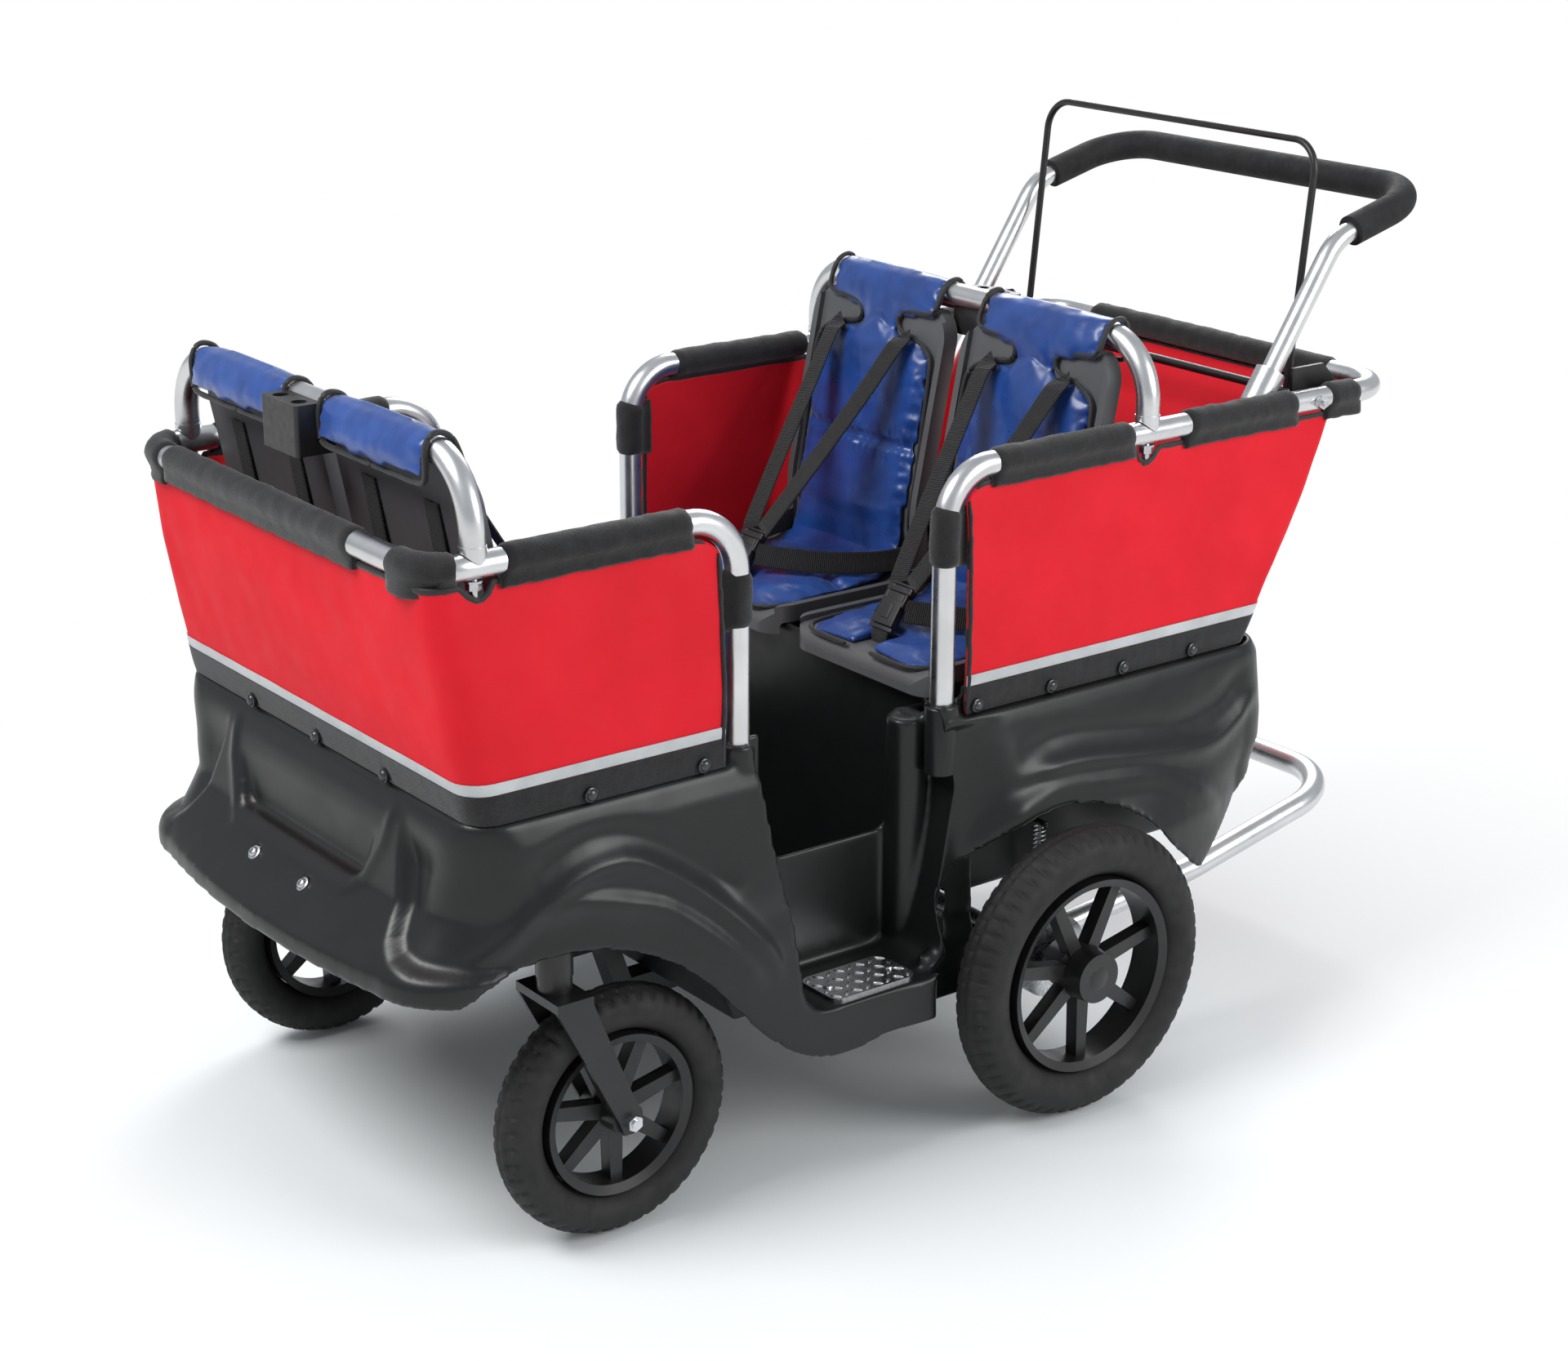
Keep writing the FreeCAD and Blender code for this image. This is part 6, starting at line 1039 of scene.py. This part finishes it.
def make_harness(label, matrix):
    """Shoulder, lap and crotch straps with a side-release buckle, in the seat's own place."""
    pieces = []
    head = BUCKLE_AT + ALONG * 27
    for name, s in SIDES:
        path = smooth_line([Vector((s * 57, -36, 738)), Vector((s * 57, -50, 732)),
                            Vector((s * 47, -88, 680)), Vector((s * 30, -146, 604)),
                            head + Vector((s * 13, 3, 6)), head + Vector((s * 10, 0, 0))], 8)
        facing = [Vector((0, -1, 0.12)).lerp(FACING, min(1, i / len(path) * 1.3))
                  for i in range(len(path))]
        pieces.append(strap_mesh("shoulder_strap_%s_%s" % (label, name), path, facing))
        start, hip = Vector((s * 103, -70, 500)), BUCKLE_AT + Vector((s * 19, 0, 0))
        path = smooth_line([start, Vector((s * 92, -112, 499)), Vector((s * 62, -170, 503)), hip],
                           8)
        outward = Vector((start.y - hip.y, hip.x - start.x, 0)).normalized() * s
        if outward.x * s < 0:
            outward = -outward
        facing = [outward.lerp(Vector((s * 0.2, -0.5, 0.8)), 0.6 * i / len(path))
                  for i in range(len(path))]
        pieces.append(strap_mesh("lap_strap_%s_%s" % (label, name), path, facing))
    foot = BUCKLE_AT - ALONG * 25
    path = smooth_line([Vector((0, -233, 474)), Vector((0, -234, 482)), foot,
                        foot + ALONG * 6], 4)
    pieces.append(strap_mesh("crotch_strap_" + label, path, [FACING] * len(path)))
    for piece in pieces:
        place(piece, matrix)
    return pieces


def make_buckle(name, matrix):
    """Side-release buckle: a waisted body with two spring prongs and strap bars."""
    bm = bmesh.new()
    for centre, size, taper in BUCKLE_BLOCKS:
        for v in bmesh.ops.create_cube(bm, size=1)["verts"]:
            shrink = taper if v.co.z > 0 else 1.0
            v.co = Vector((v.co.x * size[0] * shrink, v.co.y * size[1], v.co.z * size[2]))
            v.co = (v.co + Vector(centre)) * MM
    mesh = bpy.data.meshes.new(name)
    bm.to_mesh(mesh)
    bm.free()
    obj = linked(name, mesh)
    modified(obj, "BEVEL", width=0.0012, segments=3, limit_method="ANGLE",
             angle_limit=math.radians(35), harden_normals=False)
    apply_modifiers(obj)
    tilt = Matrix((Vector((1, 0, 0)), -FACING, ALONG)).transposed().to_4x4()
    obj.data.transform(matrix @ Matrix.Translation(BUCKLE_AT * MM) @ tilt)
    smooth_by_angle(obj, 40)
    return dress(obj, "fitting_plastic")


def make_seats():
    template = pad_template()
    outline = eased(smooth_line([Vector(p) for p in PAD_OUTLINE], 3), 6)
    for index, (label, side, in_front) in enumerate(SEATS):
        matrix = seat_matrix(side, in_front)
        pad = linked("pad_" + label, template.data.copy())
        pinch_pad(pad, 3.1 * index + 0.7)
        pad.data.transform(matrix)
        shade_smooth(pad)
        dress(pad, "pad_blue", replaces=["seat_pad_" + label])
        for name, s in SIDES:
            line = [Vector((s * p.x, p.y, p.z)) for p in outline]
            place(soft_tube("piping_%s_%s" % (label, name), line, (2.9, 2.9), 8, 0.35, seed=index,
                            material=PIPING), matrix)
        harness = make_harness(label, matrix)
        buckle = make_buckle("buckle_" + label, matrix)
        if label == "front_left":
            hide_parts("harness_front")
        if label == "rear_left":
            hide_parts("harness_rear")
            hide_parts("harness_buckles")
    mesh = template.data
    bpy.data.objects.remove(template)
    bpy.data.meshes.remove(mesh)


def surface_of(obj):
    """A tree of an object's faces in world space, to cast rays at."""
    return BVHTree.FromPolygons([obj.matrix_world @ v.co for v in obj.data.vertices],
                                [tuple(face.vertices) for face in obj.data.polygons])


def make_back_straps():
    """The shoulder webbing where it runs down behind each shell."""
    for label, side, in_front in SEATS:
        shell = surface_of(NODES["seat_shell_" + label])
        out = Vector((0, -1 if in_front else 1, 0))
        home = seat_matrix(side, in_front)
        for name, s in SIDES:
            path = []
            for i in range(BACK_STRAP_POINTS):
                start = home @ Vector((s * 0.057, 0.4, 0.733 - 0.0075 * i))
                at = shell.ray_cast(start, -out)[0]
                if at is not None:
                    lift = math.sin(math.pi * i / (BACK_STRAP_POINTS - 1)) ** 2
                    path.append(at / MM + out * (1.6 + 2.2 * lift))
            if len(path) > 3:
                strap_mesh("back_strap_%s_%s" % (label, name), eased(path, 3),
                           [out + UP * 0.15] * len(path))


# ---------------------------------------------------------------- wheels and plates

TYRE_SECTION = 44
BLOCK_STEPS = 6
# (radius, rise) in mm of turned pieces, from the axis or the inner edge round to the face
HUB_CAP = ((0.0, 5.0), (5, 4.8), (10, 4.0), (14.5, 2.4), (17, 0.6), (18.2, -0.6), (18.6, -6))
STUD = ((7.2, -1.0), (7.2, 0.5), (6.4, 1.0), (5.9, 1.1), (5.5, 2.2), (4.4, 3.3), (2.6, 4.0),
        (0.4, 4.3))
BOLT_HEAD = ((4.0, -36.0), (4.0, -1.5), (7.4, -1.5), (7.4, 0.6), (6.6, 1.0), (5.6, 1.1),
             (5.3, 2.6), (4.2, 4.0), (2.7, 4.5), (2.5, 4.2), (2.3, 2.0), (0.3, 1.9))
COLLAR = ((12.9, -64), (16.4, -64), (17.2, 5.5), (16.4, 7.0), (14.8, 7.8), (13.2, 7.2),
          (12.9, 5.5))
# metres: place of the bumper bolts, and how far beside their holes the face is felt for
BUMPER_BOLT = (0.050, 0.333)
BESIDE_HOLE = 0.009
# tread plate in metres: span across a step, pitch, half length and half width of a bar
PLATE_SPAN = (0.262, 0.324)
BAR_PITCH = 0.0132
BAR_HALF = (0.0066, 0.0021)
BAR_LEVELS = ((-0.0003, 1.0), (0.0009, 0.8), (0.0016, 0.4))
BAR_STEPS = 10


def tread_cut(outward, lane, side, step):
    """Depth in mm of the tread's cuts at a point of the section and a step round the tyre."""
    if outward <= 0.5:
        return 0.0
    phase = step % BLOCK_STEPS
    zigzag = 0.5 + 0.5 * side * math.sin(2 * math.pi * step / BLOCK_STEPS)
    shoulder = smooth_ramp(lane, 0.42, 0.52) * (1 - smooth_ramp(lane, 0.86, 0.9))
    cut = 2.1 * shoulder * (phase / BLOCK_STEPS < 0.30)
    cut += 1.9 * math.exp(-((lane - 0.36 - 0.05 * zigzag) / 0.045) ** 2)
    cut += 1.6 * math.exp(-(lane / 0.05) ** 2)
    cut += (1 - shoulder) * ((step + (2 if side > 0 else 0)) % BLOCK_STEPS == 3)
    return cut * smooth_ramp(outward, 0.50, 0.62)


def make_tyre(name, node, body, blocks):
    """A tyre with a rounded carcass, sidewall rings and a broken tread."""
    low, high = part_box(node)
    centre = (low + high) / 2
    radius = (high.z - low.z) / 2
    half = (high.x - low.x) / 2
    bead = radius * (0.655 if radius > 0.14 else 0.64)
    mid = (radius + bead) / 2
    thick = (radius - bead) / 2
    around = blocks * BLOCK_STEPS
    verts = []
    for i in range(around):
        angle = 2 * math.pi * i / around
        for k in range(TYRE_SECTION):
            turn = 2 * math.pi * k / TYRE_SECTION
            outward, across = math.cos(turn), math.sin(turn)
            r = mid + thick * outward * (1 if outward > 0 else 0.96)
            x = half * across * (1 - 0.08 * max(0, -outward))
            off = -tread_cut(outward, abs(across), 1 if x > 0 else -1, i) * MM
            if -0.5 < outward < 0.3:
                off += 0.21 * math.sin(outward * 42) * MM
            verts.append((centre.x + x + across * off,
                          centre.y + (r + outward * off) * math.cos(angle),
                          centre.z + (r + outward * off) * math.sin(angle)))
    faces = grid_faces(around, TYRE_SECTION, wrap_rows=True, wrap_columns=True)
    smooth_by_angle(add_piece(name, verts, faces, "tyre_rubber", body, replaces=[node]), 34)


def make_hub_caps():
    """Domed caps over the rear hubs, outside."""
    steps = 48
    for name, s in SIDES:
        low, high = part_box("rear_rim_" + name)
        at = (low + high) / 2
        at.x = (high.x if s > 0 else low.x) - s * 3 * MM
        axes = (Vector((0, 1, 0)), UP, Vector((s, 0, 0)))
        add_piece("hub_cap_" + name, turned(at, axes, HUB_CAP, steps),
                  grid_faces(len(HUB_CAP), steps, wrap_columns=True), "rim_plastic",
                  "rear_wheel_" + name)


def islands(node):
    """Centre and flattest direction of each loose part of a node's mesh."""
    bm = bmesh.new()
    bm.from_mesh(NODES[node].data)
    world = NODES[node].matrix_world
    seen, found = set(), []
    for start in bm.verts:
        if start in seen:
            continue
        seen.add(start)
        stack, group = [start], []
        while stack:
            v = stack.pop()
            group.append(tuple(world @ v.co))
            fresh = [w for w in (edge.other_vert(v) for edge in v.link_edges) if w not in seen]
            seen.update(fresh)
            stack += fresh
        points = np.array(group)
        middle = (points.min(axis=0) + points.max(axis=0)) / 2
        _, _, axes = np.linalg.svd(points - points.mean(axis=0))
        found.append((Vector(middle), Vector(axes[2])))
    bm.free()
    return found


def make_studs():
    """Domed snap studs along the hems."""
    verts, faces = [], []
    for at, axis in islands("canvas_studs"):
        axis = Vector((axis.x, axis.y, 0)).normalized()
        if axis.dot(at) < 0:
            axis = -axis
        add_head(verts, faces, at + axis * 0.0012, axis, STUD)
    studs = add_piece("hem_studs", verts, faces, NODE_SLOTS["canvas_studs"],
                      replaces=["canvas_studs"], material=STUD_METAL)
    smooth_by_angle(studs, 40)


def make_bumper_bolts(tub):
    """Button heads seated on the moulded face."""
    shell = surface_of(tub)
    bolt_x, bolt_z = BUMPER_BOLT
    verts, faces = [], []
    for _, s in SIDES:
        hits = [shell.ray_cast(Vector((s * bolt_x + beside, -1.0, bolt_z)), Vector((0, 1, 0)))
                for beside in (-BESIDE_HOLE, BESIDE_HOLE)]
        at = (hits[0][0] + hits[1][0]) / 2
        normal = (hits[0][1] + hits[1][1]).normalized()
        if normal.y > 0:
            normal = -normal
        add_head(verts, faces, at + normal * 0.0006, normal, BOLT_HEAD)
    heads = add_piece("bumper_bolt_heads", verts, faces, "zinc_steel", replaces=["bumper_bolts"])
    smooth_by_angle(heads, 40)


def make_post_collars():
    """Moulded collars of the tub round the feet of the four posts."""
    steps = 32
    axes = (Vector((1, 0, 0)), Vector((0, 1, 0)), UP)
    verts, faces = [], []
    for which in ("front", "rear"):
        for _, s in SIDES:
            at = Vector((s * RAIL_HALF, POST_Y[which], FOOT[which] + 4)) * MM
            faces += shifted(grid_faces(len(COLLAR), steps, True, True), len(verts))
            verts += turned(at, axes, COLLAR, steps)
    smooth_by_angle(add_piece("post_collars", verts, faces, "tub_plastic"), 40)


def make_step_plates():
    """Raised bars of tread plate, turned by quarter turns from bar to bar."""
    low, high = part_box("step_plates")
    rings = len(BAR_LEVELS)
    bar = grid_faces(rings, BAR_STEPS, wrap_columns=True)
    bar.append(tuple((rings - 1) * BAR_STEPS + k for k in range(BAR_STEPS)))
    for name, s in SIDES:
        left, right = sorted(s * x for x in PLATE_SPAN)
        rows = int((high.y - low.y) / BAR_PITCH)
        columns = int((right - left) / BAR_PITCH)
        verts, faces = [], []
        for i in range(columns):
            for j in range(rows):
                middle = Vector((left + (right - left) * (i + 0.5) / columns,
                                 low.y + (high.y - low.y) * (j + 0.5) / rows, high.z))
                turn = math.radians(45 if (i + j) % 2 else -45)
                along = Vector((math.cos(turn), math.sin(turn), 0)) * BAR_HALF[0]
                across = Vector((-math.sin(turn), math.cos(turn), 0)) * BAR_HALF[1]
                faces += shifted(bar, len(verts))
                for level, scale in BAR_LEVELS:
                    for k in range(BAR_STEPS):
                        a = 2 * math.pi * k / BAR_STEPS
                        off = (along * math.cos(a) + across * math.sin(a)) * scale
                        verts.append(middle + off + UP * level)
        add_piece("tread_bars_" + name, verts, faces, "chequer_plate")


# ---------------------------------------------------------------- build

bpy.context.scene.view_settings.view_transform = "Standard"
make_camera()
make_light()
make_world()
make_floor()
finish_nodes()
make_bumper_bolts(make_tub())
make_post_collars()
canvases = make_canvases()
make_sleeves()
for which in ("front", "rear"):
    edge_binding(which)
    for name, s in SIDES:
        door_binding(which, name, s)
make_seats()
for name, _ in SIDES:
    make_tyre("front_tread_" + name, "front_tyre_" + name, "front_wheel_" + name, 46)
    make_tyre("rear_tread_" + name, "rear_tyre_" + name, "rear_wheel_" + name, 58)
make_hub_caps()
make_step_plates()
make_studs()
make_back_straps()
